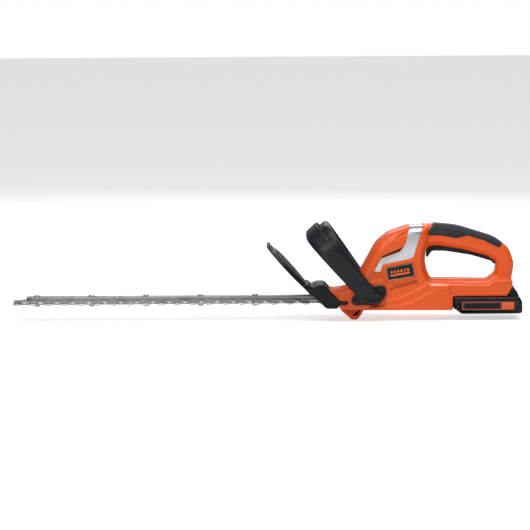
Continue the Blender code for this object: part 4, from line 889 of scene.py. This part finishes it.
def makeBlades():
    for node, name, top in (("upper_blade", "bladeUpper", True), ("lower_blade", "bladeLower", False)):
        blade = fromNode(node, name)
        low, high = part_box(node)
        level = high[2] if top else low[2]
        grindTeeth(blade, level)
        easeEdges(blade, cutting["easing"], 2, 50)
        done(blade, "blade_upper" if top else "blade_lower", "blade", node)
        blade.data.materials.append(finishes["ground"])
        for face in blade.data.polygons:  # what the grinding left bright
            far = abs(face.center.y) > (cutting["spineHalf"] + 0.3) * mm
            if far and abs(face.normal.z) < 0.95:
                face.material_index = 1
    bar = easeEdges(fromNode("support_bar", "supportBar"), cutting["barEasing"], 2, 50)
    done(bar, "body", "bar", "support_bar")


fastener = {"socket": 1.9, "socketDepth": 1.4, "head": 3.2, "headHeight": 2.2, "shank": 1.55, "arm": 2.0,
            "armHalf": 0.42, "armDepth": 0.9}


def makeFasteners():
    for node in sorted(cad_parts):
        if node.startswith("blade_bolt"):
            bolt = easeEdges(fromNode(node, "bladeBolt" + node[-1]), 0.3, 2, 30)
            low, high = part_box(node)
            along = (low[0] + high[0]) / 2
            socket = rod("socket", fastener["socket"], Vector((along, 0, high[2] - fastener["socketDepth"] * mm)),
                         Vector((along, 0, high[2] + 2 * mm)), 6)
            combine(bolt, [socket], "DIFFERENCE")
            done(bolt, "body", "bolt", node)
        elif node.startswith("blade_nut"):
            done(easeEdges(fromNode(node, "bladeNut" + node[-1]), 0.35, 2, 30), "body", "bolt", node)


def makeScrews():  # pan heads with a cross recess, on both sides of the tool
    for node in sorted(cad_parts):
        if not node.startswith(("bail_screw", "guard_screw", "housing_screw")):
            continue
        low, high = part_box(node)
        middle = (low + high) / 2
        side = -1 if middle[1] < 0 else 1
        outer, inner = (low[1], high[1]) if side < 0 else (high[1], low[1])
        head = Vector((middle[0], outer, middle[2]))
        out = Vector((0, side * mm, 0))
        piece = rod(node.title().replace("_", ""), fastener["head"], head - out * fastener["headHeight"], head, 32)
        shank = rod("shank", fastener["shank"], Vector((middle[0], inner, middle[2])), head - out * 1.5, 20)
        combine(piece, [shank], "UNION")
        arms = []
        for along, up in ((fastener["arm"], fastener["armHalf"]), (fastener["armHalf"], fastener["arm"])):
            reach = Vector((along * mm, fastener["armDepth"] * mm, up * mm))
            arms.append(crate("arm", head - out * 0.6 - reach, head - out * 0.6 + reach))
        combine(piece, arms, "DIFFERENCE")
        easeEdges(piece, 0.25, 2, 40)
        done(piece, "body", "darkScrew", node)


makeBlades()
makeFasteners()
makeScrews()
print("blades and fasteners")


pack = {
    "case": [(120, -10.5, 4), (132, -18.5, 5), (224, -18.5, 3), (227, -14.5, 4), (226.5, 0, 5), (222.5, 8, 4),
             (120, 8, 3)],
    "half": 37.5, "wall": 2.0, "split": -1, "halfGap": 0.15, "fingers": 4, "fingerPitch": 2.6,
    "recess": [(128, -13.2, 2), (133, -16.0, 2), (218, -16.0, 2), (220.5, -12, 2), (220, 1.8, 2), (129, 1.8, 2)],
    "label": [(133, -11.8, 1.2), (213.5, -11.8, 1.2), (213.5, 0.4, 1.2), (133, 0.4, 1.2)],
    "strip": [(136.5, -9.6, 0.6), (191, -9.6, 0.6), (191, -1.8, 0.6), (136.5, -1.8, 0.6)],
    "block": [(194, -11.0, 0.8), (212.7, -11.0, 0.8), (212.7, -0.4, 0.8), (194, -0.4, 0.8)],
    "tower": [(204.5, 5, 0.5), (224, 3, 1), (219, 15, 3), (213.5, 21.5, 1), (212, 21.5, 1)],
}


def packRoom():
    return pillow("packRoom", pack["case"], pack["half"], 3, 3, pack["wall"], 2)


def packFingers(near, far):  # grip slots on one side of the rear tower
    ups = [9.2 + pack["fingerPitch"] * k for k in range(pack["fingers"])]
    return [crate("finger", place(216, up, near), place(230, up + 1, far)) for up in ups]


def makePack():
    case = pillow("packForm", pack["case"], pack["half"], 4.5, 4.5, 0, 5)
    combine(case, bothSides("labelRecess", pack["recess"], pack["half"] - 0.9, 45), "DIFFERENCE")
    combine(case, [packRoom()], "DIFFERENCE")
    split, gap = place(0, pack["split"]).z, pack["halfGap"] * mm
    above = crate("above", Vector((0, -0.1, split - gap)), Vector((0.6, 0.1, 0.2)))
    below = crate("below", Vector((0, -0.1, -0.1)), Vector((0.6, 0.1, split + gap)))
    lower = combine(twin(case, "packLower"), [above], "DIFFERENCE")
    upper = combine(case, [below], "DIFFERENCE")
    upper.name = "packUpper"
    combine(upper, [crate("railNeck", place(124, 7, -20), place(213, 12.2, 20)),
                    crate("railHead", place(124, 11.7, -25), place(213, 17.4, 25)),
                    slab("tower", pack["tower"], -28, 28)], "UNION")
    combine(upper, [packRoom(), crate("latchRoom", place(211, 8.5, -12.3), place(216.6, 50, 12.3)),
                    crate("contactRoom", place(123, 12.5, -10), place(132, 18.4, 10))] +
            packFingers(-24, -15) + packFingers(15, 24), "DIFFERENCE")
    for piece, node in ((lower, "battery_lower_case"), (upper, "battery_upper_case")):
        easeEdges(piece, 0.35, 2, 50)
        done(piece, "battery", "pack", node)
    near, far = pack["half"] - 0.85, pack["half"] - 0.55
    # thin label parts: name, outline, nearest and farthest from the middle, inset and finish
    parts = [("packSheet", "label", near, far, 0.0, "marking"),
             ("packSheetInner", "label", far - 0.05, far + 0.1, 0.9, "markingDark"),
             ("packStrip", "strip", far, far + 0.2, 0.0, "dark"),
             ("packBlock", "block", far, far + 0.25, 0.0, "marking")]
    for side in (-1, 1):
        for name, outline, inner, outer, inset, finish in parts:
            part = slab(name + sideName(side).title(), pack[outline], *spanOf(side, inner, outer), inset)
            done(part, "battery", finish)
    latch = easeEdges(fromNode("battery_latch", "packLatch"), 0.6, 3, 30)
    grooves = []
    for k in range(3):
        middle = place(211, 13.5 + 2.2 * k, 0) + Vector((5.6 * mm, 0, 0))
        across = Vector((0, 9 * mm, 0))
        grooves.append(rod("groove", 0.5, middle - across, middle + across, 12))
    combine(latch, grooves, "DIFFERENCE")
    done(latch, "latch", "pack", "battery_latch")


makePack()
print("battery")


fingerRibs = {"count": 9, "start": 104, "pitch": 7, "radius": 0.7, "half": 6}


def makeTrigger():
    lever = easeEdges(fromNode("trigger", "triggerBar"), 1.4, 3, 30)
    ribs = []
    for k in range(fingerRibs["count"]):  # shallow grooves under the fingers, along the trigger
        along = fingerRibs["start"] + fingerRibs["pitch"] * k
        up = 78.0 - 0.0021 * (along - 84) ** 1.95 - 0.9
        ribs.append(rod("rib", fingerRibs["radius"], place(along, up, -fingerRibs["half"]),
                        place(along, up, fingerRibs["half"]), 12))
    combine(lever, ribs, "DIFFERENCE")
    done(lever, "trigger_lever", "trigger", "trigger")


makeTrigger()
print("trigger")
